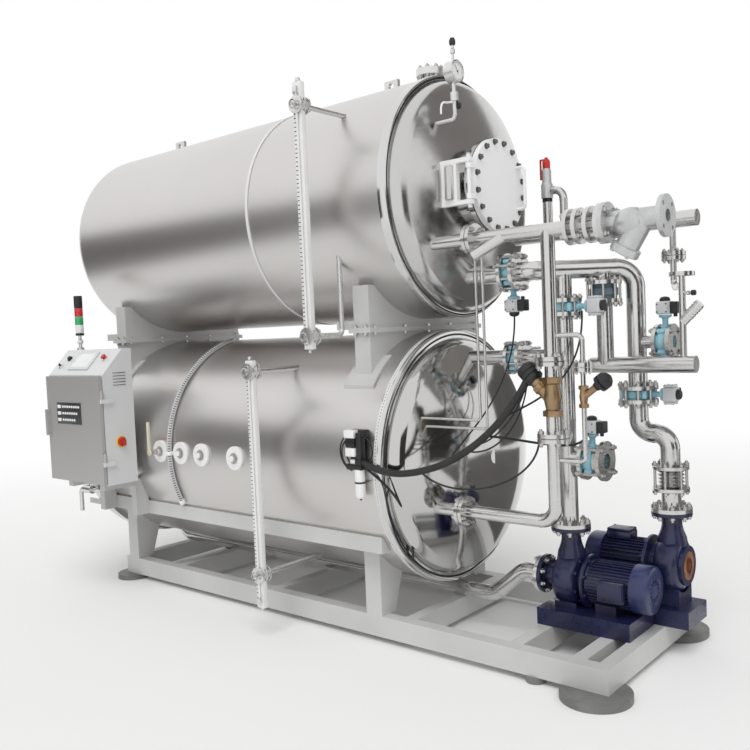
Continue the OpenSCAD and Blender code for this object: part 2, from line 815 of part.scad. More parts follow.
// One bend of a pipe, with a weld bead at each end
module elbow(a, p, c, r, bend) {
  u = unit(p - a);
  v = unit(c - p);
  angle = acos(u * v);
  start = p - u * bend * tan(angle / 2);
  middle = p + unit(v - u) * bend / cos(angle / 2);
  e = unit(start - middle);
  n = cross(e, u);
  o = middle;
  multmatrix([[e.x, u.x, n.x, o.x], [e.y, u.y, n.y, o.y], [e.z, u.z, n.z, o.z], [0, 0, 0, 1]])
    rotate_extrude(angle = angle) translate([bend, 0]) circle(r);
  for (end = [[start, u], [p + v * bend * tan(angle / 2), v]])
    rod(end[0] - end[1] * bead_l / 2, end[0] + end[1] * bead_l / 2, r + bead_h);
}

// A round pipe along a list of points, with an elbow at each inner point
module pipe(pts, r, ratio = bend_ratio) {
  bend = ratio * r;
  for (i = [0 : len(pts) - 2]) {
    u = unit(pts[i + 1] - pts[i]);
    rod(pts[i] + u * trim_at(pts, i, bend), pts[i + 1] - u * trim_at(pts, i + 1, bend), r);
  }
  for (i = [1 : 1 : len(pts) - 2]) elbow(pts[i - 1], pts[i], pts[i + 1], r, bend);
}

// A flange with its face at a point and its body behind the face
module flange(face, u, r) {
  rod(face, face - u * flange_t, r);
}

// Two flanges face to face with the gasket's gap between them
module flange_pair(middle, u, r) {
  flange(middle - u * joint_gap / 2, u, r);
  flange(middle + u * joint_gap / 2, -u, r);
}

module box(low, high) {
  translate(low) cube(high - low);
}

// Outline of a dished head from its axis to its rim, as a filled half section
module head_section(a, crown, knuckle, d, skirt) {
  k = a - knuckle;
  far = 3 * unit([k, d]) * crown;
  intersection() {
    union() {
      intersection() {
        translate([0, -d]) circle(crown);
        polygon([[0, -d], [far.x, far.y - d], [0, far.y]]);
      }
      translate([k, 0]) circle(knuckle);
      translate([0, -skirt]) square([a, skirt]);
    }
    translate([0, -skirt]) square([a, skirt + crown]);
  }
}

// A dished head that bulges along +X from the plane x = 0, with a straight skirt behind it
module dished_head(a, skirt) {
  d = crown_d(a);
  rotate([0, 90, 0]) rotate_extrude() difference() {
    head_section(a, crown_r, knuckle_r, d, skirt);
    head_section(a - head_t, crown_r - head_t, knuckle_r - head_t, d, skirt + past);
  }
}

module retort_crown() {
  translate([retort_head_x - crown_d(retort_head_r), 0, retort_z]) sphere(crown_r + seat_gap, $fn = fine);
}

module tank_crown() {
  translate([tank_head_x - crown_d(tank_head_r), 0, tank_z]) sphere(crown_r + seat_gap, $fn = fine);
}

module retort_space() {
  level(retort_x0 - retort_r, retort_x1 + ring_l, [0, retort_z], retort_r + seat_gap, $fn = fine);
}

module tank_space() {
  level(tank_x0 - tank_r, tank_x1 + ring_l, [0, tank_z], tank_r + seat_gap, $fn = fine);
}

module base_long_beams() {
  color(frame_grey) for (side = [-1, 1])
    translate([-half_len, side * (half_w - beam_w / 2) - beam_w / 2, pad_h])
      cube([base_len, beam_w, beam_h]);
}

module base_cross_beams() {
  inner = base_w - 2 * beam_w;
  ends = [-half_len + beam_w / 2, half_len - 1.5 * beam_w - end_gap, half_len - beam_w / 2];
  color(frame_grey) for (x = concat(cross_xs, ends))
    translate([x - beam_w / 2, -inner / 2, pad_h]) cube([beam_w, inner, beam_h]);
}

module foot_pads() {
  color("dimgray") for (side = [-1, 1]) {
    translate([half_len - pad_in[0], side * (half_w - pad_side), 0]) cylinder(d = pad_d, h = pad_h);
    translate([-half_len + pad_in[1], side * (half_w - pad_side), 0]) cylinder(d = far_pad_d, h = pad_h);
    translate([half_len - small_pad_in, side * (half_w - beam_w / 2), 0])
      cylinder(d = small_pad_d, h = pad_h);
  }
}

module lower_saddle_posts() {
  color(frame_grey) difference() {
    for (x = [saddle_x0, saddle_x1]) for (side = [0, 1]) mirror([0, side, 0])
      translate([x + saddle_t / 2, 0, 0]) rotate([90, 0, -90]) linear_extrude(saddle_t)
        polygon([[half_w, beam_top], [half_w, post_h], [half_w - post_top_w, post_h],
          [half_w - post_w, beam_top]]);
    retort_space();
  }
}

module side_rails() {
  color("lightgray") difference() {
    for (side = [0, 1]) mirror([0, side, 0])
      box([rail_x0, -rail_y, rail_z], [rail_x1, -half_w, rail_z + rail_h]);
    retort_space();
    level(rail_x0 - past, retort_x0 + rail_gap, [0, retort_z], retort_r + door_rim + rail_gap, $fn = fine);
  }
}

module retort_shell() {
  color(stainless) tube([retort_x0, 0, retort_z], [retort_x1, 0, retort_z], retort_r, retort_r - wall);
}

module retort_rear_head() {
  color(stainless) translate([retort_head_x, 0, retort_z])
    dished_head(retort_head_r, retort_head_x - retort_x1);
}

module retort_door_ring() {
  color(stainless) tube([retort_x0 - door_ring_l, 0, retort_z], [retort_x0, 0, retort_z],
    retort_r + door_rim, retort_head_r + seat_gap);
}

module retort_door() {
  color(stainless) translate([retort_x0 - door_ring_l, 0, retort_z]) mirror([1, 0, 0])
    dished_head(retort_head_r, door_ring_l);
}

module tank_shell() {
  color(stainless) tube([tank_x0, 0, tank_z], [tank_x1, 0, tank_z], tank_r, tank_r - wall);
}

module tank_rear_head() {
  color(stainless) difference() {
    translate([tank_head_x, 0, tank_z]) dished_head(tank_head_r, tank_head_x - tank_x1);
    level(tank_x1, manway_x, [manway_y, manway_z], manway_bore + manway_wall + seat_gap);
  }
}

module tank_front_head() {
  color(stainless) translate([tank_x0 - tank_skirt, 0, tank_z]) mirror([1, 0, 0])
    dished_head(tank_r, tank_skirt);
}

module tank_seam_band() {
  color("white") tube([band_x - band_w / 2, 0, tank_z], [band_x + band_w / 2, 0, tank_z],
    tank_r + band_t, tank_r + seat_gap);
}

// Polished rings around the two heads at the pipework end
module rim_rings() {
  color(stainless) {
    tube([retort_x1, 0, retort_z], [retort_x1 + ring_l, 0, retort_z],
      retort_r + retort_rim, retort_head_r + seat_gap);
    tube([tank_x1, 0, tank_z], [tank_x1 + ring_l, 0, tank_z], tank_r + tank_rim, tank_head_r + seat_gap);
  }
}

module saddle_block(x, z0, z1) {
  box([x - saddle_t / 2, -half_w, z0], [x + saddle_t / 2, half_w, z1]);
}

module split_flange(x, z0) {
  out = saddle_t / 2 + split_out;
  box([x - out, -half_w - split_out, z0], [x + out, half_w + split_out, z0 + split_plate]);
}

// Curved pads under the two ends of a saddle on the retort
module saddle_pads(x) {
  out = saddle_t / 2 + saddle_pad_out;
  intersection() {
    tube([x - out, 0, retort_z], [x + out, 0, retort_z], retort_r + saddle_pad_t, retort_r + seat_gap,
      $fn = fine);
    for (side = [0, 1]) mirror([0, side, 0])
      box([x - out - past, -half_w - saddle_pad_out, retort_z],
        [x + out + past, -half_w - saddle_pad_out + saddle_pad_d, retort_z + 2 * retort_r]);
  }
}

module saddle_lower_halves() {
  color(frame_grey) {
    difference() {
      for (x = [saddle_x0, saddle_x1]) {
        saddle_block(x, saddle_low, saddle_split);
        split_flange(x, saddle_split - split_plate);
      }
      retort_space();
    }
    for (x = [saddle_x0, saddle_x1]) saddle_pads(x);
  }
}

module saddle_upper_halves() {
  color(frame_grey) difference() {
    for (x = [saddle_x0, saddle_x1]) {
      saddle_block(x, saddle_split + seat_gap, saddle_top);
      split_flange(x, saddle_split + seat_gap);
      for (side = [0, 1]) mirror([0, side, 0])
        box([x - saddle_t / 2 - split_bar_l, -half_w, saddle_split + split_plate / 2],
          [x - saddle_t / 2, -half_w + split_bar, saddle_split + split_plate / 2 + split_bar]);
    }
    tank_space();
  }
}

module manway_neck() {
  color(stainless) difference() {
    union() {
      level(tank_head_x + neck_in, manway_x, [manway_y, manway_z], manway_bore + manway_wall);
      level(manway_x - manway_flange_t, manway_x, [manway_y, manway_z], cover_r);
    }
    level(tank_head_x, manway_x + past, [manway_y, manway_z], manway_bore);
  }
}

// Fixed half of the manway hinge: a plate on the head, two ears and the pin
module manway_hinge() {
  plate_half = ear_z + ear_h / 2;
  x = manway_pin_x;
  y = manway_pin_y;
  color("gainsboro") difference() {
    union() {
      for (side = [-1, 1])
        box([x - hinge_free - hinge_half, y - hinge_half, manway_z + side * ear_z - ear_h / 2],
          [x + hinge_half, y + hinge_half, manway_z + side * ear_z + ear_h / 2]);
      box([x - hinge_back, y - hinge_half, manway_z - plate_half],
        [x - hinge_free, y + hinge_half, manway_z + plate_half]);
      upright([x, y], manway_z - pin_half, manway_z + pin_half, manway_pin_r);
    }
    tank_crown();
  }
}

// Cover with two hinge arms that turn on the pin, and a pull handle
module manway_cover() {
  x0 = manway_x + gasket_gap;
  x1 = x0 + cover_t;
  bar_y = manway_y + handle_y;
  color("white") {
    difference() {
      union() {
        level(x0, x1, [manway_y, manway_z], cover_r);
        for (side = [-1, 1]) {
          z0 = manway_z + side * arm_z - arm_h / 2;
          box([x0, manway_pin_y, z0], [x1, manway_y - cover_r + arm_over, z0 + arm_h]);
          upright([manway_pin_x, manway_pin_y], z0, z0 + arm_h, cover_t / 2);
        }
      }
      upright([manway_pin_x, manway_pin_y], manway_z - ear_z, manway_z + ear_z, manway_pin_r + pin_gap);
    }
    pipe([[x1 - past, bar_y, manway_z + handle_half], [x1 + handle_out, bar_y, manway_z + handle_half],
      [x1 + handle_out, bar_y, manway_z - handle_half], [x1 - past, bar_y, manway_z - handle_half]],
      handle_r);
  }
}

module tank_top_nozzle() {
  top = tank_z + tank_r + nozzle_h;
  color(stainless) difference() {
    union() {
      upright([nozzle_x, 0], tank_z + tank_r - nozzle_r, top, nozzle_r);
      upright([nozzle_x, 0], top - nozzle_flange_t, top, nozzle_flange_r);
    }
    tank_space();
  }
}

module tank_lifting_lugs() {
  hole_z = tank_z + tank_r + lug_hole_z;
  color(stainless) difference() {
    for (x = lug_xs) difference() {
      translate([x - lug_w / 2, -lug_t / 2, tank_z + tank_r - lug_t]) cube([lug_w, lug_t, lug_h + lug_t]);
      rod([x, -lug_t / 2 - past, hole_z], [x, lug_t / 2 + past, hole_z], lug_hole_r);
    }
    tank_space();
  }
}

// Dial on a stem with a cock, held by a bent tube out of the tank's head
module tank_pressure_gauge() {
  color(stainless) difference() {
    union() {
      pipe([[tank_head_x, dial_y, dial_arm_z], [dial_x, dial_y, dial_arm_z], [dial_x, dial_y, dial_z]],
        gauge_tube_r);
      upright([dial_x, dial_y], dial_z - 2.6 * dial_r, dial_z - 1.8 * dial_r, 2 * gauge_tube_r);
      level(dial_x - dial_t / 2, dial_x + dial_t / 2, [dial_y, dial_z], dial_r);
    }
    tank_crown();
  }
}

// The tall board of a level gauge with a flanged valve at each branch
module gauge_board(x, zs, branches) {
  box([x - board_w / 2, gauge_y - board_t / 2, zs[0]], [x + board_w / 2, gauge_y + board_t / 2, zs[1]]);
  for (z = branches)
    rod([x, gauge_y - gauge_valve_l[0], z], [x, gauge_y + gauge_valve_l[1], z], gauge_valve_r);
}

module tank_level_gauge() {
  x = tank_gauge_x;
  color("gainsboro") difference() {
    union() {
      gauge_board(x, tank_gauge_zs, tank_branch_zs);
      pipe([[x, gauge_y, tank_branch_zs[0]], [x, upturn_y, tank_branch_zs[0]], [x, upturn_y, tank_z]],
        branch_r);
      rod([x, gauge_y, tank_branch_zs[1]], [x, 0, tank_branch_zs[1]], branch_r);
    }
    tank_space();
  }
}

module retort_level_gauge() {
  x = retort_gauge_x;
  color("gainsboro") difference() {
    union() {
      gauge_board(x, retort_gauge_zs, retort_branch_zs);
      for (z = retort_branch_zs) rod([x, gauge_y, z], [x, 0, z], branch_r);
    }
    retort_space();
  }
}

module shell_rosettes() {
  z = retort_z + rosette_dz;
  color("white") difference() {
    for (x = rosette_xs) {
      rod([x, -retort_r / 2, z], [x, -retort_r - rosette_t, z], rosette_r);
      rod([x, -retort_r / 2, z], [x, -retort_r - plug_out, z], plug_r);
    }
    retort_space();
  }
}

module sample_cock() {
  end = cock_y - cock_l;
  color(stainless) {
    rod([cock_x, cock_y, cock_z], [cock_x, end, cock_z], cock_r);
    rod([cock_x, end, cock_z], [cock_x, end - cock_stem_l, cock_z], cock_stem_r);
  }
}

module sample_cock_lever() {
  hub = cock_y - cock_l - lever_gap;
  end = hub - lever_t - lever_gap / 2;
  color("white") difference() {
    union() {
      rod([cock_x, hub, cock_z], [cock_x, end, cock_z], cock_r);
      translate([cock_x - lever_w / 2, end, cock_z]) cube([lever_w, lever_t, cock_lever_l]);
    }
    rod([cock_x, hub + past, cock_z], [cock_x, end - past, cock_z], cock_stem_r + pin_gap);
  }
}

module cable_conduit() {
  color("gainsboro") translate([conduit_x, 0, retort_z]) rotate([90, 0, 90])
    rotate([0, 0, conduit_a0]) rotate_extrude(angle = conduit_span)
      translate([retort_r + seat_gap + conduit_r, 0]) circle(conduit_r);
}

module suction_pipe() {
  y = front_pump_y;
  face = front_riser_x - suction_l;
  color(stainless) {
    difference() {
      pipe([[suction_x0, y, retort_z - retort_r / 2], [suction_x0, y, suction_z],
        [face - suction_rise[0], y, suction_z], [face - suction_rise[1], y, front_pump_z],
        [face, y, front_pump_z]], pipe_m);
      retort_space();
    }
    flange([face, y, front_pump_z], [1, 0, 0], flange_l);
  }
}

module drain_valve() {
  stem_at = drain_at - [drain_stem, 0, 0];
  outlet = drain_at - [drain_out, 0, 0];
  color(stainless) {
    difference() {
      pipe([[drain_at.x, -retort_r / 2, drain_at.z], drain_at, drain_at - [drain_stem, 0, 0]], drain_r);
      retort_space();
    }
    rod(drain_at - [drain_body[0], 0, 0], drain_at - [drain_body[1], 0, 0], drain_body_r);
    pipe([stem_at, outlet, outlet - [0, 0, drain_drop]], drain_r);
    rod(stem_at, stem_at + [0, 0, drain_stem_h], drain_stem_r);
  }
}

module drain_valve_lever() {
  pivot = drain_at - [drain_stem, 0, 0];
  hub = drain_body_r + lever_gap;
  end = hub + lever_t + lever_gap / 2;
  color(stainless) difference() {
    union() {
      rod(pivot + [0, 0, hub], pivot + [0, 0, end], 2 * drain_stem_r);
      box(pivot + [-drain_lever_l, -lever_w / 2, end - lever_t], pivot + [0, lever_w / 2, end]);
    }
    rod(pivot, pivot + [0, 0, end + past], drain_stem_r + pin_gap);
  }
}

module cabinet_outline() {
  polygon([[-cab_front, cab_z0], [-cab_front, cab_z0 + cab_front_h],
    [-cab_back + cab_top_d, cab_z0 + cab_back_h], [-cab_back, cab_z0 + cab_back_h], [-cab_back, cab_z0]]);
}

module control_cabinet() {
  ear = 5 * cab_pin_r;
  color("lightgray") {
    difference() {
      translate([cab_x1, 0, 0]) rotate([90, 0, -90]) linear_extrude(cab_w) cabinet_outline();
      box([cab_x0 + cab_wall, cab_front - past, cab_z0 + cab_wall],
        [cab_x1 - cab_wall, cab_back - cab_wall, cab_z0 + cab_front_h - cab_wall]);
    }
    for (z = cab_hinge_zs) {
      box([cab_x1, cab_pin_y - knuckle_out, z - ear], [cab_x1 + 2 * cab_pin_out, cab_front + 2 * ear, z]);
      upright([cab_pin_x, cab_pin_y], z, z + 2 * ear, cab_pin_r);
    }
  }
}

module cabinet_door() {
  y1 = cab_front - cab_gap;
  y0 = y1 - cab_door_t;
  rise = 2 * pin_gap;
  top = 9 * cab_pin_r;
  color(stainless) {
    difference() {
      union() {
        box([cab_x0 + cab_edge, y0, cab_z0 + cab_edge],
          [cab_x1 - cab_edge, y1, cab_z0 + cab_front_h - cab_edge]);
        for (z = cab_hinge_zs) {
          box([cab_x1 - 2 * cab_edge, cab_pin_y - cab_door_t / 3, z + rise],
            [cab_pin_x, cab_pin_y + cab_door_t / 3, z + top]);
          upright([cab_pin_x, cab_pin_y], z + rise, z + top, knuckle_out);
        }
      }
      for (z = cab_hinge_zs)
        upright([cab_pin_x, cab_pin_y], z, z + top + past, cab_pin_r + pin_gap);
    }
    translate([cab_x0 + pull_x, y0 - pull.y, cab_z0 + pull_z]) cube(pull);
  }
}

// Places the children on the sloping console, x across and y up the slope from its lower edge
module on_console() {
  translate([cab_x0, cab_front, cab_z0 + cab_front_h]) rotate([console_tilt, 0, 0]) children();
}

module cabinet_controls() {
  color("dimgray") {
    on_console() {
      translate([screen[0], screen[1], 0]) cube([screen[2], screen[3], screen_t]);
      for (at = buttons) translate([at.x, at.y, 0]) cylinder(r = button[0], h = button[1]);
    }
    translate([cab_x1, cab_front + switch_at[0], cab_z0 + switch_at[1]]) rotate([0, 90, 0])
      cylinder(r = switch[0], h = switch[1]);
  }
}

module signal_tower() {
  color("green") translate([cab_x0 + tower_x, cab_back - cab_top_d / 2, cab_z0 + cab_back_h]) {
    cylinder(r = tower_foot[0], h = tower_foot[1]);
    cylinder(r = tower_stem[0], h = tower_stem[1]);
    translate([0, 0, tower_stem[1]]) cylinder(r = tower_lamps[0], h = tower_lamps[1]);
  }
}

module cabinet_brackets() {
  color(frame_grey) difference() {
    for (x = [cab_x0 + bracket_in[0], cab_x1 - bracket_in[1]]) {
      box([x - bracket_w / 2, cab_front + bracket_front, cab_z0 - bracket_h],
        [x + bracket_w / 2, -rail_y, cab_z0]);
      box([x - bracket_w / 2, -rail_y - bracket_d, rail_z], [x + bracket_w / 2, -rail_y, cab_z0]);
    }
    retort_space();
  }
}

module air_valve_bank() {
  color("dimgray") difference() {
    union() {
      translate(bank_low) cube(bank_size);
      upright([bowl_at.x, bowl_at.y], bowl_z, bank_low.z + bowl_r, bowl_r);
    }
    retort_space();
  }
}

// The actuator on the brass valve of the riser
module riser_actuator(gap) {
  rod(brass_to, brass_to + unit(brass_to - brass_from) * brass_actuator_l[0], brass_actuator_r[0] + gap);
}

// Bundle of cables from the air valves to the brass valve, held by ties
module cable_loom() {
  color("dimgray") difference() {
    pipe(concat([loom_start], loom_points), loom_r);
    riser_actuator(seat_gap);
    translate(bank_low) cube(bank_size);
  }
}

// One pump casing: volute, suction flange along dir, discharge neck and flange
module pump_casing(x, y, z, dir, reach) {
  face = x + dir * reach;
  color(pump_blue) {
    level(x - volute_w / 2, x + volute_w / 2, [y, z], volute_r);
    level(x, face, [y, z], suction_neck_r);
    level(face, face - dir * flange_t, [y, z], flange_l);
    upright([x, y], z, z + discharge_h, neck_r);
    flange([x, y, z + discharge_h], [0, 0, 1], flange_l);
    level(x, x - dir * motor_off, [y, z], lantern_r);
  }
}

// One motor with its flange, fan cover and terminal box, bolted to the casing's back
module pump_motor(x, y, z, dir, up) {
  x0 = x - dir * motor_off;
  x1 = x0 - dir * motor_l;
  color(pump_blue) {
    level(x0, x1, [y, z], motor_r);
    level(x0, x0 - dir * flange_t, [y, z], motor_r + motor_rim);
    level(x1 + dir * fan_l, x1, [y, z], motor_r + fan_rim);
    along([(x0 + x1) / 2, y, z] + up * (motor_r - terminal_in), up)
      translate([-terminal.x / 2, -terminal.y / 2, 0]) cube(terminal);
  }
}

module pump_casings() {
  pump_casing(front_riser_x, front_pump_y, front_pump_z, -1, suction_l);
  pump_casing(rear_discharge_x, rear_pump_y, rear_pump_z, 1, rear_suction_l);
}

module pump_motors() {
  pump_motor(front_riser_x, front_pump_y, front_pump_z, -1, [0, -1, 0]);
  pump_motor(rear_discharge_x, rear_pump_y, rear_pump_z, 1, [0, 0, 1]);
}

// A plinth on the base beams with a seat under the casing and one under the motor
module pump_base(x, y, z, dir, front) {
  over = x + dir * plinth_over;
  back = x - dir * plinth_l;
  top = beam_top + plinth_h;
  motor_x = x - dir * motor_seat;
  difference() {
    union() {
      box([min(over, back), y - front, beam_top], [max(over, back), y + plinth_half, top]);
      box([x - volute_w / 2, y - seat_half, beam_top], [x + volute_w / 2, y + seat_half, z - seat_half]);
      box([motor_x - seat_l / 2, y - seat_half, beam_top],
        [motor_x + seat_l / 2, y + seat_half, z - seat_half]);
    }
    level(over + dir * past, x - dir * motor_off, [y, z], volute_r + seat_gap);
    level(x - dir * motor_off, x - dir * (motor_off + flange_t + seat_gap), [y, z],
      motor_r + motor_rim + seat_gap);
    level(x - dir * motor_off, back - dir * past, [y, z], motor_r + seat_gap);
    level(x - dir * (motor_off + motor_l - fan_l - past), back - dir * past, [y, z],
      motor_r + fan_rim + seat_gap);
  }
}

module pump_bases() {
  color(pump_blue) {
    pump_base(front_riser_x, front_pump_y, front_pump_z, -1, plinth_front);
    pump_base(rear_discharge_x, rear_pump_y, rear_pump_z, 1, plinth_half);
  }
}

module lateral(gap) {
  rod(lateral_root, lateral_end, lateral_r + gap);
}

module steam_pipe() {
  color(stainless) difference() {
    union() {
      level(tank_x1, strainer_xs[0], [steam_y, steam_z], pipe_s);
      flange_pair([steam_flange_x, steam_y, steam_z], [1, 0, 0], flange_xs);
      for (x = union_xs) flange([x, steam_y, steam_z], [1, 0, 0], union_r);
      flange([strainer_xs[0], steam_y, steam_z], [1, 0, 0], flange_s);
      lateral(0);
      upright([riser_x, steam_y], steam_z, brass_zs[1], pipe_s);
      flange_pair([riser_x, steam_y, riser_flange_z], [0, 0, 1], flange_xs);
    }
    tank_crown();
  }
}

// Holes of an open flange that faces +X, cut back from its face
module flange_holes(face, circle_d, depth) {
  for (i = [0 : 3]) translate([face.x, face.y, face.z]) rotate([45 + i * 90, 0, 0])
    level(-depth, past, [circle_d / 2, 0], bolt_hole_r);
}

module strainer() {
  x0 = strainer_xs[0];
  x1 = strainer_xs[1];
  color("lightgray") difference() {
    union() {
      level(x0, x0 + flange_t, [steam_y, steam_z], flange_s);
      level(x0, x1, [steam_y, steam_z], strainer_r);
      level(x1 - flange_t, x1, [steam_y, steam_z], flange_s);
      rod([leg_from[0], steam_y, steam_z + leg_from[1]], [leg_to[0], steam_y, steam_z + leg_to[1]], leg_r);
    }
    level(x1 - strainer_bore_l, x1 + past, [steam_y, steam_z], strainer_bore);
    flange_holes([x1, steam_y, steam_z], bolt_circles[0], flange_t + 2 * past);
  }
}

module brass_valves() {
  color("darkgoldenrod") {
    upright([riser_x, steam_y], brass_zs[0], brass_zs[1], brass_r[0]);
    rod(brass_from, brass_to, brass_r[1]);
    upright([bypass_x, steam_y], small_brass_zs[0], small_brass_zs[1], small_brass_r[0]);
    rod(small_from, small_to, small_brass_r[1]);
  }
}

module brass_valve_actuators() {
  color("dimgray") {
    riser_actuator(0);
    rod(small_to, small_to + unit(small_to - small_from) * brass_actuator_l[1], brass_actuator_r[1]);
  }
}

module steam_riser() {
  color(stainless) difference() {
    union() {
      pipe([[riser_x, steam_y, brass_zs[0]], [riser_x, steam_y, lower_nozzle_z],
        [retort_x1, steam_y, lower_nozzle_z]], pipe_s);
      flange_pair([riser_x, steam_y, riser_low_z], [0, 0, 1], flange_xs);
      flange_pair([lower_flange_x, steam_y, lower_nozzle_z], [1, 0, 0], flange_xs);
    }
    retort_crown();
  }
}

// Small line around the brass valve, with a union and a valve of its own
module bypass_line() {
  y = steam_y;
  z0 = bypass_zs[0];
  z1 = bypass_zs[1];
  color(stainless) {
    difference() {
      union() {
        pipe([[riser_x, y, z1], [bypass_x, y, z1], [bypass_x, y, small_brass_zs[1]]], bypass_r);
        pipe([[bypass_x, y, small_brass_zs[0]], [bypass_x, y, z0], [riser_x, y, z0]], bypass_r);
      }
      upright([riser_x, steam_y], lower_nozzle_z, steam_z, pipe_s + seat_gap);
    }
    flange_pair([bypass_x, steam_y, bypass_union_z], [0, 0, 1], bypass_union_r);
  }
}

// Thin lines from the lateral's end down to the retort's head, each with a small cock
module impulse_lines() {
  axis = unit(lateral_to);
  color(stainless) difference() {
    for (i = [0, 1]) {
      x = impulse_xs[i];
      top = lateral_root + axis * (x - lateral_x) / axis.x;
      pipe([top, [x, top.y, impulse_zs[i]], [retort_x1, top.y, impulse_zs[i]]], impulse_r);
      upright([x, top.y], impulse_cock_z, impulse_cock_z + 4 * impulse_cock_r, impulse_cock_r);
    }
    lateral(seat_gap);
    retort_crown();
  }
}

module circulation_pipe() {
  v = circ_valve_x;
  rear_top = rear_valve_z + wafer_t / 2;
  front_bottom = front_valve_z + wafer_t / 2;
  color(stainless) {
    difference() {
      union() {
        level(tank_x1, v - wafer_t / 2, [circ_y, circ_z], pipe_l);
        flange([v - wafer_t / 2, circ_y, circ_z], [1, 0, 0], flange_l);
      }
      tank_crown();
    }
    flange([v + wafer_t / 2, circ_y, circ_z], [-1, 0, 0], flange_l);
    pipe([[v + wafer_t / 2, circ_y, circ_z], [circ_bend_x, circ_y, circ_z],
      [rear_riser_x, rear_pump_y, circ_z], [rear_riser_x, rear_pump_y, rear_top]], pipe_l, elbow_ratio);
    flange([rear_riser_x, rear_pump_y, rear_top], [0, 0, -1], flange_l);
    upright([front_riser_x, front_pump_y], circ_z, front_bottom, pipe_m);
    flange([front_riser_x, front_pump_y, front_bottom], [0, 0, -1], flange_s);
    upright([return_x, return_y], circ_z, check_zs[1], pipe_m);
    flange([return_x, return_y, check_zs[1]], [0, 0, -1], flange_s);
    level(rear_riser_x, branch_valve_x - wafer_t / 2, [rear_pump_y, branch_z], pipe_s);
    flange([branch_valve_x - wafer_t / 2, rear_pump_y, branch_z], [1, 0, 0], flange_s);
  }
}

module front_riser() {
  x = front_riser_x;
  y = front_pump_y;
  low = front_pump_z + discharge_h;
  top = front_valve_z - wafer_t / 2;
  face = drain_branch_x - wafer_t / 2;
  color(stainless) difference() {
    union() {
      upright([x, y], low, top, pipe_m);
      flange([x, y, low], [0, 0, -1], flange_l);
      flange([x, y, top], [0, 0, 1], flange_s);
      level(x, face, [y, drain_branch_z], pipe_m);
      flange([face, y, drain_branch_z], [1, 0, 0], flange_l);
      level(spray_valve_x + wafer_t / 2, x, [y, spray_z], pipe_m);
      flange([spray_valve_x + wafer_t / 2, y, spray_z], [-1, 0, 0], flange_s);
      level(retort_x1, spray_valve_x - wafer_t / 2, [y, spray_z], pipe_m);
      flange([spray_valve_x - wafer_t / 2, y, spray_z], [1, 0, 0], flange_s);
    }
    retort_crown();
  }
}

// Centre, pipe direction and stem direction of each butterfly valve
butterfly_places = [
  [[circ_valve_x, circ_y, circ_z], [1, 0, 0], [0, 0, -1]],
  [[front_riser_x, front_pump_y, front_valve_z], [0, 0, 1], [1, 0, 0]],
  [[rear_riser_x, rear_pump_y, rear_valve_z], [0, 0, 1], [1, 0, 0]],
  [[branch_valve_x, rear_pump_y, branch_z], [1, 0, 0], [0, 0, 1]],
  [[drain_branch_x, front_pump_y, drain_branch_z], [1, 0, 0], [0, 0, 1]],
  [[spray_valve_x, front_pump_y, spray_z], [1, 0, 0], [0, 1, 0]]
];

module butterfly_valves() {
  color(valve_blue) for (p = butterfly_places) {
    rod(p[0] - p[1] * wafer_t / 2, p[0] + p[1] * wafer_t / 2, wafer_r);
    rod(p[0], p[0] + p[2] * stem_h, stem_r);
    rod(p[0] + p[2] * (stem_h - top_plate[1]), p[0] + p[2] * stem_h, top_plate[0]);
  }
}

module valve_actuators() {
  color("lightgray") for (p = butterfly_places) along(p[0] + p[2] * stem_h, p[2]) {
    translate([-actuator.x / 2, -actuator.y / 2, 0]) cube(actuator);
    translate([0, 0, actuator.z]) cylinder(r = actuator_cap[0], h = actuator_cap[1]);
  }
}

module return_check_valve() {
  color("dimgray") upright([return_x, return_y], check_zs[0], check_zs[1], wafer_r);
}

module lower_header(gap) {
  level(return_x - header_back, header_x1, [return_y, header_z], pipe_m + gap);
}

module return_riser() {
  color(stainless) {
    upright([return_x, return_y], check_zs[0], header_z, pipe_m);
    flange([return_x, return_y, check_zs[0]], [0, 0, 1], flange_s);
    lower_header(0);
  }
}

// Header with the safety valve's stub and outlet, and the small drop line to the lower header
module vent_header() {
  outlet_x = safety_x + outlet_dx;
  drop = [drop_end_x, return_y, drop_z];
  valve = [drop_end_x, return_y, angle_valve_z];
  color(stainless) difference() {
    union() {
      level(tank_x1, vent_x1, [vent_y, vent_z], pipe_m);
      upright([safety_x, vent_y], vent_z, vent_z + safety_stub_h, safety_stub_r);
      pipe([[outlet_x, vent_y, vent_z], [outlet_x, vent_y, vent_z + outlet_h],
        [safety_x + safety_r[0] + seat_gap, vent_y, vent_z + outlet_h]], outlet_r);
      pipe([[drop_x, vent_y, vent_z], [drop_x, vent_y, drop_z], drop, [drop_end_x, return_y, header_z]],
        drop_r);
      flange_pair([drop_x, vent_y, drop_flange_z], [0, 0, 1], drop_flange_r);
      rod(drop - [0, 0, 2 * bend_ratio * drop_r], [drop_end_x, return_y, stub_z], drop_r - bead_h);
      upright([drop_end_x, return_y], stub_z - flange_t, stub_z, drop_flange_r);
      rod(valve, valve + [angle_valve_l, 0, angle_valve_l] / sqrt(2), angle_valve_r);
    }
    tank_crown();
    lower_header(seat_gap);
  }
}

module safety_valve() {
  base = vent_z + safety_stub_h;
  color("slategray") {
    upright([safety_x, vent_y], base, base + safety_h[0], safety_r[0]);
    upright([safety_x, vent_y], base + safety_h[0], base + safety_h[0] + safety_h[1], safety_r[1]);
  }
}

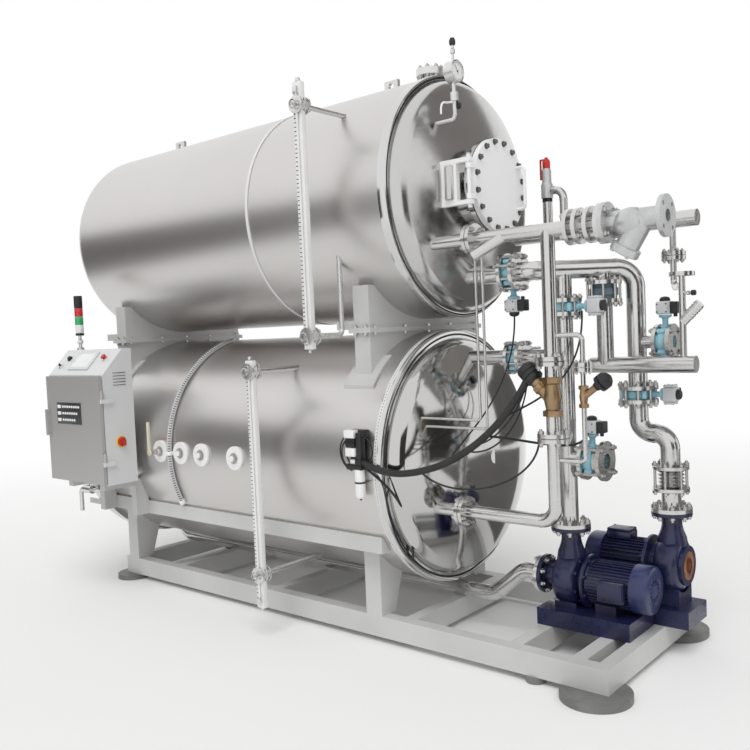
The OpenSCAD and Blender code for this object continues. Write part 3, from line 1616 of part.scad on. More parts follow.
module rear_riser() {
  x = rear_discharge_x;
  y = rear_pump_y;
  top = rear_valve_z - wafer_t / 2;
  low = rear_pump_z + discharge_h;
  color(stainless) {
    pipe([[rear_riser_x, y, top], [rear_riser_x, y, s_bend_z], [x, y, s_bend_z], [x, y, bellows_zs[1]]],
      pipe_l, s_ratio);
    flange([rear_riser_x, y, top], [0, 0, 1], flange_l);
    upright([x, y], low, bellows_zs[0], pipe_l);
    flange([x, y, low], [0, 0, -1], flange_l);
  }
}

module bellows_joint() {
  x = rear_discharge_x;
  y = rear_pump_y;
  color(stainless) {
    upright([x, y], bellows_zs[0], bellows_zs[1], bellows_r);
    flange([x, y, bellows_zs[0]], [0, 0, -1], flange_s);
    flange([x, y, bellows_zs[1]], [0, 0, 1], flange_s);
  }
}

// Open flanges on the outlet side of the branch valves, for pipes of the plant
module outlet_flanges() {
  places = [[branch_valve_x, rear_pump_y, branch_z], [drain_branch_x, front_pump_y, drain_branch_z]];
  radii = [flange_s, flange_l];
  color(stainless) for (i = [0, 1]) {
    back = places[i] + [wafer_t / 2, 0, 0];
    face = back + [outlet_ls[i], 0, 0];
    difference() {
      union() {
        flange(face, [1, 0, 0], radii[i]);
        rod(back, face, wafer_r);
      }
      rod(back - [past, 0, 0], face + [past, 0, 0], outlet_bores[i]);
      flange_holes(face, bolt_circles[i], outlet_ls[i] + past);
    }
  }
}

base_long_beams();
base_cross_beams();
foot_pads();
lower_saddle_posts();
side_rails();
retort_shell();
retort_rear_head();
retort_door_ring();
retort_door();
tank_shell();
tank_rear_head();
tank_front_head();
tank_seam_band();
rim_rings();
saddle_lower_halves();
saddle_upper_halves();
manway_neck();
manway_hinge();
manway_cover();
tank_top_nozzle();
tank_lifting_lugs();
tank_pressure_gauge();
tank_level_gauge();
retort_level_gauge();
shell_rosettes();
sample_cock();
sample_cock_lever();
cable_conduit();
suction_pipe();
drain_valve();
drain_valve_lever();
control_cabinet();
cabinet_door();
cabinet_controls();
signal_tower();
cabinet_brackets();
air_valve_bank();
cable_loom();
pump_casings();
pump_motors();
pump_bases();
steam_pipe();
strainer();
brass_valves();
brass_valve_actuators();
steam_riser();
bypass_line();
impulse_lines();
circulation_pipe();
front_riser();
butterfly_valves();
valve_actuators();
return_check_valve();
return_riser();
vent_header();
safety_valve();
rear_riser();
bellows_joint();
outlet_flanges();
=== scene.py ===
# %% [markdown]
# # A double-deck retort sterilizer
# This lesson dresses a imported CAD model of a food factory's sterilizer: a hot-water tank
# above a retort, with a control cabinet on one side and pumps and pipework at one end.
# The frame already holds every main solid in its place, in metres. We add what makes it
# look real: finishes, smooth turned forms, bolts, valves, gauges, cables and lamps.

# %% Load the frame
from math import atan2, cos, pi, radians, sin, tau

import bmesh
import bpy
from mathutils import Matrix, Vector


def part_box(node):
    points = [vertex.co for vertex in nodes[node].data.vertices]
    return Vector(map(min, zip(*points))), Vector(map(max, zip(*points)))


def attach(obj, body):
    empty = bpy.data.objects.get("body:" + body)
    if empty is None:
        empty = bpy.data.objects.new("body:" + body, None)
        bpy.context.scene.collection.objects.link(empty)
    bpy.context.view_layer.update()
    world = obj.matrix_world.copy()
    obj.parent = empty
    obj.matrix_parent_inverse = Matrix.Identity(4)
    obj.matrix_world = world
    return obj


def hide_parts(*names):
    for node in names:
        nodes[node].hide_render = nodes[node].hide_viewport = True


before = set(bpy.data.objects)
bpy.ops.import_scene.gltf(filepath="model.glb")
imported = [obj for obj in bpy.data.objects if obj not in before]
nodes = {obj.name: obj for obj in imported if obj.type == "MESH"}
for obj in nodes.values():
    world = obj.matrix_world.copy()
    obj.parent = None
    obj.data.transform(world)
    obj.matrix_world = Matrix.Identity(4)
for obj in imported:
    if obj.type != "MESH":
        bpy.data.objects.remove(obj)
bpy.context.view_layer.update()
scene = bpy.context.scene
MACHINE = "machine"
X, Y, Z = Vector((1, 0, 0)), Vector((0, 1, 0)), Vector((0, 0, 1))
print("nodes loaded:", len(nodes))

# %% [markdown]
# ## The camera
# The camera stands where the photographer stood, to the right of the pump end and a little
# above waist height. Its place, turn and focal length were solved from the two vessels and
# the base frame, so the picture lines up without any lens shift.

# %% Camera
PHOTO_SIZE = 750
FOCAL_PIXELS = 840.2
SENSOR = 36.0
EYE = Vector((3.1581, -3.5833, 1.5431))
YAW, PITCH, ROLL = radians(40.206), radians(-2.935), radians(-2.479)

forward = Vector((-sin(YAW) * cos(PITCH), cos(YAW) * cos(PITCH), sin(PITCH)))
level_right = Vector((cos(YAW), sin(YAW), 0))
level_up = level_right.cross(forward)
right = cos(ROLL) * level_right + sin(ROLL) * level_up
up = cos(ROLL) * level_up - sin(ROLL) * level_right

camera_data = bpy.data.cameras.new("photo_camera")
camera_data.sensor_width = SENSOR
camera_data.lens = FOCAL_PIXELS / PHOTO_SIZE * SENSOR
camera_data.clip_end = 200
camera = bpy.data.objects.new("photo_camera", camera_data)
scene.collection.objects.link(camera)
camera.matrix_world = Matrix.Translation(EYE) @ Matrix((right, up, -forward)).transposed().to_4x4()
scene.camera = camera
print("lens in mm:", round(camera_data.lens, 2))

# %% [markdown]
# ## Studio light
# The photograph shows the machine on white. A brighter lamp could burn the background out,
# but it would burn the object too. So Light Path makes the world white to the eye and in
# mirrors, while a softer strength of it lights the object. A broad sun gives the shade its
# direction, and mirrors don't show its disc.

# %% What eyes and mirrors see


def eyes_and_mirrors(tree):
    """A socket that is 1 for camera, mirror and glass rays, and 0 for rays that bring light."""
    rays = tree.nodes.new("ShaderNodeLightPath")
    seen = rays.outputs["Is Camera Ray"]
    for kind in ("Is Glossy Ray", "Is Transmission Ray"):
        either = tree.nodes.new("ShaderNodeMath")
        either.operation = "MAXIMUM"
        tree.links.new(seen, either.inputs[0])
        tree.links.new(rays.outputs[kind], either.inputs[1])
        seen = either.outputs[0]
    return seen


print("light path helper ready")

# %% Sky
SKY_LIGHT = 0.62

scene.view_settings.view_transform = "Standard"
world = bpy.data.worlds.new("white_studio")
scene.world = world
world.use_nodes = True
sky = world.node_tree
sky.nodes.clear()
lit = sky.nodes.new("ShaderNodeBackground")
lit.inputs["Strength"].default_value = SKY_LIGHT
white = sky.nodes.new("ShaderNodeBackground")
for background in (lit, white):
    background.inputs["Color"].default_value = (1, 1, 1, 1)
choice = sky.nodes.new("ShaderNodeMixShader")
output = sky.nodes.new("ShaderNodeOutputWorld")
sky.links.new(eyes_and_mirrors(sky), choice.inputs["Fac"])
sky.links.new(lit.outputs[0], choice.inputs[1])
sky.links.new(white.outputs[0], choice.inputs[2])
sky.links.new(choice.outputs[0], output.inputs["Surface"])
print("sky light:", SKY_LIGHT)

# %% Sun
SUN_LIGHT = 1.35
SUN_SPREAD = radians(40)
SUN_DIRECTION = Vector((-0.35, 0.55, -1.0))

sun_data = bpy.data.lights.new("broad_sun", "SUN")
sun_data.energy = SUN_LIGHT
sun_data.angle = SUN_SPREAD
sun = bpy.data.objects.new("broad_sun", sun_data)
scene.collection.objects.link(sun)
sun.visible_glossy = False
sun.matrix_world = SUN_DIRECTION.to_track_quat("-Z", "Y").to_matrix().to_4x4()
print("sun light:", SUN_LIGHT)

# %% [markdown]
# ## Helpers for pieces
# Turned parts, rounded boxes and bolts come back again and again on this machine, so each
# gets one short helper around a bmesh operator. A finished mesh is merged, its normals are
# turned outwards, and it rides on the body that carries it.

# %% Placing and keeping
MERGE = 1e-5
SHARP = radians(35)


def facing(point, axis=Z, roll=0.0):
    """A place with its own Z along an axis."""
    turn_to = Vector(axis).to_track_quat("Z", "Y").to_matrix().to_4x4()
    return Matrix.Translation(point) @ turn_to @ Matrix.Rotation(roll, 4, "Z")


def keep(bm, name, material, body=MACHINE, slot=None, stands_for=()):
    """Closes the bmesh into a piece that rides on a body."""
    bmesh.ops.remove_doubles(bm, verts=bm.verts, dist=MERGE)
    bmesh.ops.recalc_face_normals(bm, faces=bm.faces)
    mesh = bpy.data.meshes.new(name)
    bm.to_mesh(mesh)
    bm.free()
    mesh.polygons.foreach_set("use_smooth", [True] * len(mesh.polygons))
    mesh.set_sharp_from_angle(angle=SHARP)
    mesh.materials.append(material)
    piece = bpy.data.objects.new(name, mesh)
    scene.collection.objects.link(piece)
    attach(piece, body)
    if stands_for:
        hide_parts(*stands_for)


print("placing helpers ready")

# %% [markdown]
# ### Turned forms
# Flanges, drums and knobs are turned on a lathe, and spin does the same: half an outline goes
# once round an axis. A soft edge of a millimetre or two catches the light as real metal does.

# %% Turned forms


def turned(bm, outline, where, steps=48, closed=False):
    """A solid of revolution: an outline of (radius, height) points spun about the place's Z."""
    ring = [bm.verts.new(where @ Vector((r, 0, h))) for r, h in outline]
    pairs = zip(ring, ring[1:] + ring[:1]) if closed else zip(ring, ring[1:])
    edges = [bm.edges.new(pair) for pair in pairs]
    bmesh.ops.spin(bm, geom=ring + edges, cent=where.translation, axis=where.to_3x3() @ Z,
                   angle=tau, steps=steps, use_merge=True)


def turned_piece(name, material, outline, where, steps, closed=False, **ride):
    """A piece that is one turned form."""
    bm = bmesh.new()
    turned(bm, outline, where, steps, closed)
    keep(bm, name, material, **ride)


def soft_rim(radius, low, high, edge=0.002):
    """The outer edge of a disc with both corners softened."""
    return [(radius - edge, low), (radius, low + edge), (radius, high - edge), (radius - edge, high)]


def disc(radius, low, high, edge=0.002):
    """The outline of a full disc."""
    return [(0, low), *soft_rim(radius, low, high, edge), (0, high)]


def drum(bm, radius, low, high, where, steps=32, edge=0.002):
    """A turned drum from one height to another."""
    turned(bm, disc(radius, low, high, edge), where, steps)


print("turned forms ready")

# %% [markdown]
# ### Boxes, prisms and bolts
# A box starts as a cube and has its edges bevelled, because no real edge is sharp. Heads and
# nuts are six-sided prisms, and a through bolt is a shank with one of them on each side.

# %% Boxes, prisms and bolts
HEAD_TALL, HEAD_WIDE = 0.8, 0.9


def rounded_box(bm, low, high, edge=0.003, where=Matrix(), segments=2):
    """A box with bevelled edges."""
    low, high = Vector(low), Vector(high)
    size = Matrix.Diagonal((high - low).to_4d())
    size[3][3] = 1
    middle = Matrix.Translation((low + high) / 2)
    made = bmesh.ops.create_cube(bm, size=1, matrix=where @ middle @ size)
    edges = list({e for v in made["verts"] for e in v.link_edges})
    bmesh.ops.bevel(bm, geom=edges, offset=edge, offset_type="OFFSET", affect="EDGES",
                    segments=segments, profile=0.5, material=-1)


def boxed_piece(name, material, low, high, edge, where=Matrix(), segments=2, **ride):
    """A piece that is one rounded box."""
    bm = bmesh.new()
    rounded_box(bm, low, high, edge, where, segments)
    keep(bm, name, material, **ride)


def prism(bm, radius, depth, where, sides=6):
    """A straight prism that starts at the place and runs along its Z."""
    bmesh.ops.create_cone(bm, cap_ends=True, segments=sides, radius1=radius, radius2=radius,
                          depth=depth, matrix=where @ Matrix.Translation((0, 0, depth / 2)))


def around(where, angle, radius, height=0.0):
    """A place on a circle about the place's Z."""
    return where @ Matrix.Rotation(angle, 4, "Z") @ Matrix.Translation((radius, 0, height))


def bolt_ring(bm, where, circle, count, grip, size, first=0.0, thread=0.6):
    """Through bolts around a joint: shank, head and nut, half the grip on each side."""
    reach = grip / 2 + size * (HEAD_TALL + thread)
    for i in range(count):
        angle = first + tau * i / count
        at = where @ Matrix.Translation((circle * cos(angle), circle * sin(angle), 0))
        prism(bm, size / 2, 2 * reach, at @ Matrix.Translation((0, 0, -reach)), sides=8)
        for side in (0, pi):
            seat = at @ Matrix.Rotation(side, 4, "X") @ Matrix.Translation((0, 0, grip / 2))
            prism(bm, size * HEAD_WIDE, size * HEAD_TALL, seat)


print("boxes, prisms and bolts ready")

# %% [markdown]
# ### Bent lines
# A bent bar or a cable is one Bezier curve with a round bevel. That keeps it smooth however
# it bends, where a chain of cylinders would show its joints.

# %% Bent lines


def pipe_curve(name, points, radius, material):
    """A round line through points, as one smooth open curve."""
    data = bpy.data.curves.new(name, "CURVE")
    data.dimensions = "3D"
    data.bevel_depth = radius
    data.bevel_resolution = 4
    data.use_fill_caps = True
    data.resolution_u = 8
    line = data.splines.new("BEZIER")
    line.bezier_points.add(len(points) - 1)
    for knot, point in zip(line.bezier_points, points):
        knot.co = point
        knot.handle_left_type = knot.handle_right_type = "AUTO"
    data.materials.append(material)
    piece = bpy.data.objects.new(name, data)
    scene.collection.objects.link(piece)
    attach(piece, MACHINE)
    return piece


print("bent lines ready")

# %% [markdown]
# ## Finishes
# Stainless steel shows four finishes here: brushed cladding, mirror-polished heads and rims,
# satin fittings and drawn pipe. Each one is a metal whose roughness and tone follow noise
# on Object coordinates, stretched along the grain. Paints and plastics use the same recipe
# without the metal. Numbers that are the same everywhere are set straight on the shader.

# %% Finish recipe


def finish(name, colour, rough, metallic=0.0, grain=40, spread=0.06, tone=0.06,
           bump=0.0, blotch=1.5, coat=0.0, specular=0.5):
    """A procedural finish: fine grain drives roughness and bump, broad noise drives the tone."""
    material = bpy.data.materials.new(name)
    material.use_nodes = True
    tree = material.node_tree
    surface = tree.nodes["Principled BSDF"]
    surface.inputs["Metallic"].default_value = metallic
    surface.inputs["Coat Weight"].default_value = coat
    surface.inputs["Specular IOR Level"].default_value = specular
    coords = tree.nodes.new("ShaderNodeTexCoord")
    stretch = tree.nodes.new("ShaderNodeMapping")
    stretch.inputs["Scale"].default_value = grain if isinstance(grain, tuple) else (grain,) * 3
    fine = tree.nodes.new("ShaderNodeTexNoise")
    fine.inputs["Scale"].default_value = 1.0
    fine.inputs["Detail"].default_value = 4.0
    broad = tree.nodes.new("ShaderNodeTexNoise")
    broad.inputs["Scale"].default_value = blotch
    broad.inputs["Detail"].default_value = 3.0
    dull = tree.nodes.new("ShaderNodeMapRange")
    dull.inputs["From Min"].default_value = 0.3
    dull.inputs["From Max"].default_value = 0.7
    dull.inputs["To Min"].default_value = max(rough - spread, 0.02)
    dull.inputs["To Max"].default_value = rough + spread
    tint = tree.nodes.new("ShaderNodeValToRGB")
    dark, pale = tint.color_ramp.elements
    dark.position, pale.position = 0.35, 0.65
    dark.color = (*[c * (1 - tone) for c in colour], 1)
    pale.color = (*[min(c * (1 + tone / 2), 1) for c in colour], 1)
    tree.links.new(coords.outputs["Object"], stretch.inputs["Vector"])
    tree.links.new(stretch.outputs["Vector"], fine.inputs["Vector"])
    tree.links.new(coords.outputs["Object"], broad.inputs["Vector"])
    tree.links.new(fine.outputs["Fac"], dull.inputs["Value"])
    tree.links.new(dull.outputs["Result"], surface.inputs["Roughness"])
    tree.links.new(broad.outputs["Fac"], tint.inputs["Fac"])
    tree.links.new(tint.outputs["Color"], surface.inputs["Base Color"])
    if bump:
        relief = tree.nodes.new("ShaderNodeBump")
        relief.inputs["Strength"].default_value = bump
        relief.inputs["Distance"].default_value = 0.001
        tree.links.new(fine.outputs["Fac"], relief.inputs["Height"])
        tree.links.new(relief.outputs["Normal"], surface.inputs["Normal"])
    return material


print("finish recipe ready")

# %% [markdown]
# ### Steels
# Each line gives the colour, the roughness, how metallic the finish is, its grain, how far
# roughness and tone vary, and then the bump, the scale of the blotches and the clear coat
# where there are any. The grain of the cladding runs round the vessels, so its noise is fine
# along X and long across it. The mirrors keep a little haze from handling.

# %% Steels
cladding = finish("brushed_cladding", (0.69, 0.672, 0.658), 0.34, 1, (700, 40, 40), 0.015, 0.02)
mirror = finish("mirror_steel", (0.60, 0.595, 0.585), 0.1, 1, 30, 0.02, 0.03)
soft_mirror = finish("soft_mirror_steel", (0.60, 0.595, 0.585), 0.2, 1, 30, 0.03, 0.03)
rim_steel = finish("rim_steel", (0.68, 0.68, 0.675), 0.12, 1, 60, 0.03, 0.03)
satin = finish("satin_steel", (0.78, 0.78, 0.775), 0.32, 1, 90, 0.08, 0.06, 0.04)
pipe_steel = finish("pipe_steel", (0.68, 0.675, 0.665), 0.2, 1, 70, 0.07, 0.07, 0.02)
flange_steel = finish("machined_flange", (0.62, 0.615, 0.6), 0.3, 1, 140, 0.08, 0.08, 0.05)
bolt_steel = finish("bolt_steel", (0.58, 0.57, 0.55), 0.3, 1, 200, 0.1, 0.1)
dark_bolt = finish("dark_bolt", (0.2, 0.195, 0.19), 0.38, 1, 200, 0.1, 0.1)
white_steel = finish("bead_blasted_white", (0.93, 0.93, 0.93), 0.4, 0.1, 160, 0.05, 0.03, 0.05)
door_steel = finish("brushed_door", (0.52, 0.51, 0.50), 0.45, 0.55, (900, 900, 30), 0.05, 0.04)
brass = finish("cast_brass", (0.40, 0.275, 0.16), 0.36, 1, 110, 0.1, 0.2, 0.12, 14)
print("steels made:", len(bpy.data.materials))

# %% [markdown]
# ### Paints, plastics and lenses
# Frame paint, cabinet paint and pump enamel get faint orange peel, dirt and tone changes.
# The lenses of the lamps are smooth paints under a clear coat, which reads as plastic here
# and needs no see-through shader.

# %% Paints, plastics and lenses
band_white = finish("seam_white", (0.78, 0.775, 0.765), 0.42, 0, 90, 0.05, 0.03)
frame_grey = finish("frame_enamel", (0.60, 0.60, 0.59), 0.42, 0, 55, 0.08, 0.08, 0.06, 2.2)
pad_dark = finish("pad_enamel", (0.19, 0.19, 0.182), 0.5, 0, 60, 0.1, 0.25, 0.08, 7)
cabinet_paint = finish("cabinet_enamel", (0.70, 0.71, 0.71), 0.4, 0, 220, 0.05, 0.03, 0.08)
black_plastic = finish("black_plastic", (0.022, 0.022, 0.024), 0.42, 0, 240, 0.08, 0.2, 0.08)
grey_plastic = finish("housing_grey", (0.66, 0.68, 0.69), 0.4, 0, 200, 0.06, 0.05, 0.06)
pump_blue = finish("pump_enamel", (0.013, 0.016, 0.062), 0.34, 0, 90, 0.1, 0.3, 0.12, 9, 0.25)
fan_blue = finish("fan_cover_enamel", (0.024, 0.032, 0.11), 0.34, 0, 90, 0.08, 0.2, 0.08, 9, 0.25)
valve_blue = finish("valve_enamel", (0.34, 0.62, 0.72), 0.4, 0, 120, 0.08, 0.12, 0.1, 20)
# The check valve's colour: the valve blue darkened as painted shade, for the shadow it sits in.
shaded_valve_blue = finish("shaded_valve_blue", (0.13, 0.19, 0.22), 0.5, 0.1, 120, 0.08, 0.2, 0.1, 20)
silver_paint = finish("silver_paint", (0.60, 0.605, 0.61), 0.33, 0.6, 130, 0.08, 0.1, 0.14, 12)
red_enamel = finish("red_enamel", (0.55, 0.03, 0.025), 0.36, 0, 150, 0.06, 0.12, 0.06, 20)
cream = finish("cream_enamel", (0.72, 0.68, 0.52), 0.4, 0, 150, 0.05, 0.05, 0.04, 20)
yellow_plastic = finish("yellow_plastic", (0.80, 0.58, 0.03), 0.4, 0, 180, 0.05, 0.06, 0.04, 20)
duct_grey = finish("duct_plastic", (0.66, 0.66, 0.67), 0.42, 0, 150, 0.05, 0.05, 0.05, 12)
cable_black = finish("cable_jacket", (0.018, 0.018, 0.019), 0.45, 0, 200, 0.08, 0.3, 0.05, 15)
rubber = finish("gasket_rubber", (0.03, 0.03, 0.03), 0.6, 0, 150, 0.08, 0.2, 0.1, 20)
rusty = finish("rusty_bore", (0.26, 0.11, 0.05), 0.75, 0, 160, 0.1, 0.5, 0.3, 24)
legend_dark = finish("legend_plate", (0.05, 0.055, 0.055), 0.35, 0.2, 150, 0.05, 0.2, 0, 20)
# Plain black for ticks, needle and caps, and the same black as painted shade in the slots of the duct and
# the louvres.
plain_black_and_slot_shade = finish("plain_black_and_slot_shade", (0.03, 0.03, 0.03), 0.5, 0, 80, 0.05, 0.2)
dial_white = finish("dial_white", (0.85, 0.85, 0.83), 0.3, 0, 80, 0.04, 0.02, 0, 10, 0.4)
green_lens = finish("green_lens", (0.02, 0.42, 0.13), 0.16, 0, 120, 0.04, 0.1, 0, 20, 0.5)
red_lens = finish("red_lens", (0.60, 0.02, 0.03), 0.16, 0, 120, 0.04, 0.1, 0, 20, 0.5)
clear_lens = finish("clear_lens", (0.80, 0.82, 0.82), 0.14, 0, 120, 0.04, 0.05, 0, 20, 0.5)
print("finishes made:", len(bpy.data.materials))

# %% [markdown]
# ### Which node wears what
# Solids whose shape is already right keep their CAD mesh and only change their finish. Beams,
# shells and saddles are such solids. What isn't listed is pipe.

# %% Dress the nodes
WEAR = {
    "base_long_beams": frame_grey, "base_cross_beams": frame_grey, "lower_saddle_posts": frame_grey,
    "side_rails": frame_grey, "saddle_lower_halves": frame_grey, "saddle_upper_halves": frame_grey,
    "cabinet_brackets": frame_grey, "foot_pads": pad_dark,
    "retort_shell": cladding, "tank_shell": cladding, "tank_front_head": cladding,
    "tank_seam_band": band_white, "rim_rings": rim_steel, "retort_rear_head": mirror,
    "retort_door_ring": rim_steel, "retort_door": mirror, "tank_rear_head": soft_mirror,
    "manway_neck": mirror, "manway_hinge": white_steel, "manway_cover": white_steel,
    "tank_top_nozzle": satin, "tank_lifting_lugs": satin, "tank_pressure_gauge": satin,
    "tank_level_gauge": satin, "retort_level_gauge": satin, "shell_rosettes": white_steel,
    "sample_cock": satin, "sample_cock_lever": cream, "cable_conduit": duct_grey,
    "drain_valve": satin, "drain_valve_lever": satin,
    "control_cabinet": cabinet_paint, "cabinet_door": door_steel, "cabinet_controls": black_plastic,
    "signal_tower": black_plastic, "air_valve_bank": black_plastic, "cable_loom": cable_black,
    "pump_casings": pump_blue, "pump_motors": pump_blue, "pump_bases": pump_blue,
    "strainer": silver_paint, "brass_valves": brass, "brass_valve_actuators": black_plastic,
    "butterfly_valves": valve_blue, "valve_actuators": grey_plastic, "return_check_valve": shaded_valve_blue,
    "safety_valve": silver_paint, "outlet_flanges": flange_steel,
}
for name, node in nodes.items():
    node.data.materials.clear()
    node.data.materials.append(WEAR.get(name, pipe_steel))
print("nodes dressed:", len(nodes))

# %% [markdown]
# ## The floor
# One large pale plane catches the soft shadow. Far out it turns into plain white for eyes and
# mirrors, so that no horizon line shows, and it still lights the machine as a pale floor does.

# %% Floor
FLOOR_HALF = 60
FLOOR_COLOUR = (0.92, 0.92, 0.915)
NEAR_FLOOR, FAR_FLOOR = 3.0, 9.0


def stage_plane(name, size, where, material):
    """A flat plane that belongs to the studio."""
    bm = bmesh.new()
    bmesh.ops.create_grid(bm, x_segments=1, y_segments=1, size=size)
    bmesh.ops.transform(bm, matrix=where, verts=bm.verts)
    mesh = bpy.data.meshes.new(name)
    bm.to_mesh(mesh)
    bm.free()
    mesh.materials.append(material)
    plane = bpy.data.objects.new(name, mesh)
    scene.collection.objects.link(plane)
    return plane


floor_paint = finish("pale_floor", FLOOR_COLOUR, 0.85, 0, 3, 0.05, 0.01, 0, 0.3, specular=0.1)
tree = floor_paint.node_tree
place = tree.nodes.new("ShaderNodeTexCoord")
far = tree.nodes.new("ShaderNodeVectorMath")
far.operation = "LENGTH"
fade = tree.nodes.new("ShaderNodeMapRange")
fade.interpolation_type = "SMOOTHSTEP"
fade.inputs["From Min"].default_value = NEAR_FLOOR
fade.inputs["From Max"].default_value = FAR_FLOOR
share = tree.nodes.new("ShaderNodeMath")
share.operation = "MULTIPLY"
glow = tree.nodes.new("ShaderNodeEmission")
blend = tree.nodes.new("ShaderNodeMixShader")
tree.links.new(place.outputs["Object"], far.inputs[0])
tree.links.new(far.outputs["Value"], fade.inputs["Value"])
tree.links.new(eyes_and_mirrors(tree), share.inputs[0])
tree.links.new(fade.outputs["Result"], share.inputs[1])
tree.links.new(share.outputs[0], blend.inputs["Fac"])
tree.links.new(tree.nodes["Principled BSDF"].outputs["BSDF"], blend.inputs[1])
tree.links.new(glow.outputs["Emission"], blend.inputs[2])
tree.links.new(blend.outputs["Shader"], tree.nodes["Material Output"].inputs["Surface"])
stage_plane("floor", FLOOR_HALF, Matrix(), floor_paint)
print("floor half in m:", FLOOR_HALF)

# %% [markdown]
# ## The flags
# Polished steel shows only what stands round it, and in an empty white room it would look
# like paper. A photographer sets up dark cards, called flags, and so do we: four stand round
# the machine, one lies on the floor and one hangs overhead. Only mirrors see them.

# %% Flags
FLAG_TALL = 3.4
FLAGS = [("left", 8.0, 190, 250, 0.13), ("right", 8.5, -40, -12, 0.06),
         ("near_window", 8.5, 0, 24, 0.06), ("past_window", 8.5, 56, 104, 0.14)]


def flag(name, where, half_wide, half_tall, grey):
    """A dark card that only mirrors see."""
    warm_grey = (grey, grey * 0.95, grey * 0.92)
    cloth = finish(name + "_cloth", warm_grey, 0.9, 0, 8, 0.02, 0.1, 0, 0.5, specular=0.1)
    shape = Matrix.Diagonal((1, half_tall / half_wide, 1, 1))
    card = stage_plane(name, half_wide, where @ shape, cloth)
    card.visible_camera = card.visible_diffuse = card.visible_shadow = False


for name, far_out, first, last, grey in FLAGS:
    middle = radians((first + last) / 2)
    spot = Vector((far_out * cos(middle), far_out * sin(middle), FLAG_TALL / 2))
    inward = facing(spot, Vector((-spot.x, -spot.y, 0)))
    flag("flag_" + name, inward, far_out * sin(radians(last - first) / 2), FLAG_TALL / 2, grey)
flag("flag_overhead", facing((4.8, 4.2, 6.5), Vector((-0.5, -0.45, -1))), 4.0, 4.0, 0.3)
flag("flag_ground", Matrix.Translation((3.6, 3.8, 0.004)), 2.9, 2.9, 0.16)
print("flags:", len(FLAGS) + 2)

# %% [markdown]
# ## Bolted joints of the pipework
# Every flange on the real machine is held by a ring of bolts. The flanges themselves are CAD
# solids; here one table gives the middle of each joint, its axis, the bolt circle, how many
# bolts it has, the thickness they grip and their size. All of them become one joined mesh.

# %% Places of the pipework
STEAM_Y, STEAM_Z = -0.375, 1.94
FRONT = Vector((1.295, 0.015, 0))
REAR = Vector((1.54, 0.26, 0))
RETURN = Vector((1.432, 0.152, 0))
RISER = Vector((1.43, STEAM_Y, 0))
REAR_PUMP = Vector((1.687, 0.26, 0))
STEAM_JOINTS = [(Vector((1.055, STEAM_Y, STEAM_Z)), X), (RISER + Z * 1.387, Z), (RISER + Z * 1.06, Z),
                (Vector((0.96, STEAM_Y, 0.694)), X)]
TANK_INLET, FRONT_VALVE, REAR_VALVE = Vector((1.095, -0.1, 1.795)), FRONT + Z * 1.62, REAR + Z * 1.195
SIDE_OUTLET, RETORT_INLET = Vector((1.68, 0.26, 1.44)), Vector((1.04, 0.015, 1.388))
print("steam joints:", len(STEAM_JOINTS))

# %% Pipe bolts
FLANGE_T = 0.018
WAFER_T = 0.046
WAFER_GRIP = WAFER_T + 2 * FLANGE_T
STEAM_BOLTS = [4, 4, 4, 8]
PIPE_JOINTS = [(*joint, 0.056, count, 0.039, 0.014) for joint, count in zip(STEAM_JOINTS, STEAM_BOLTS)]
PIPE_JOINTS += [
    ((1.561, STEAM_Y, STEAM_Z), X, 0.061, 4, 0.058, 0.014),
    ((1.69, STEAM_Y, STEAM_Z), X, 0.0665, 4, 0.036, 0.016),
    (TANK_INLET, X, 0.0785, 8, WAFER_GRIP, 0.015),
    (FRONT_VALVE, Z, 0.0735, 8, WAFER_GRIP, 0.013),
    (RETURN + Z * 1.685, Z, 0.0735, 8, 0.106, 0.013),
    (REAR_VALVE, Z, 0.0785, 8, WAFER_GRIP, 0.015),
    (SIDE_OUTLET, X, 0.0735, 4, WAFER_GRIP, 0.013),
    ((1.432, 0.015, 0.905), X, 0.081, 4, 0.11, 0.015),
    (RETORT_INLET, X, 0.0735, 8, WAFER_GRIP, 0.013),
    (FRONT + Z * 0.585, Z, 0.0765, 8, 0.036, 0.015),
    (REAR_PUMP + Z * 0.65, Z, 0.0765, 8, 0.036, 0.015),
    ((1.15, 0.015, 0.335), X, 0.0765, 8, 0.036, 0.015),
    (REAR_PUMP + Z * 0.805, Z, 0.071, 6, 0.12, 0.014),
    ((1.705, 0.31, 1.835), Z, 0.043, 4, 0.039, 0.01),
    ((1.574, STEAM_Y, 1.361), Z, 0.028, 4, 0.039, 0.008),
    ((0.588, 0, 2.8575), Z, 0.058, 8, 0.035, 0.012),
]
bm = bmesh.new()
for centre, axis, circle, count, grip, size in PIPE_JOINTS:
    bolt_ring(bm, facing(centre, axis), circle, count, grip, size, first=pi / count)
print("pipe bolts:", sum(joint[3] for joint in PIPE_JOINTS), "faces:", len(bm.faces))
keep(bm, "pipe_bolts", bolt_steel, slot="pipe_steel")

# %% [markdown]
# ## Gaskets of the steam line
# Between the paired flanges of the steam line a thin dark gasket shows. A narrow turned disc
# fills each gap; a dark paint line would not catch the shadow between the flanges.

# %% Gaskets
GASKET_R, GASKET_HALF = 0.046, 0.0014
bm = bmesh.new()
for centre, axis in STEAM_JOINTS:
    drum(bm, GASKET_R, -GASKET_HALF, GASKET_HALF, facing(centre, axis), edge=0.0004)
print("gaskets:", len(STEAM_JOINTS))
keep(bm, "flange_gaskets", rubber)

# %% [markdown]
# ## Butterfly valves
# A wafer butterfly valve is a short ring squeezed between two flanges, with a neck for its
# stem, four locating ears and a flat top plate that carries the actuator. Every part of it is
# round, so all of it is turned. One function makes the six valves from a table.

# %% Butterfly valves
WAFER_R, STEM_H, EAR_R = 0.066, 0.125, 0.0125
BUTTERFLIES = [(TANK_INLET, X, -Z), (FRONT_VALVE, Z, X), (REAR_VALVE, Z, X), (SIDE_OUTLET, X, Z),
               (Vector((1.418, 0.015, 0.905)), X, Z), (RETORT_INLET, X, Y)]


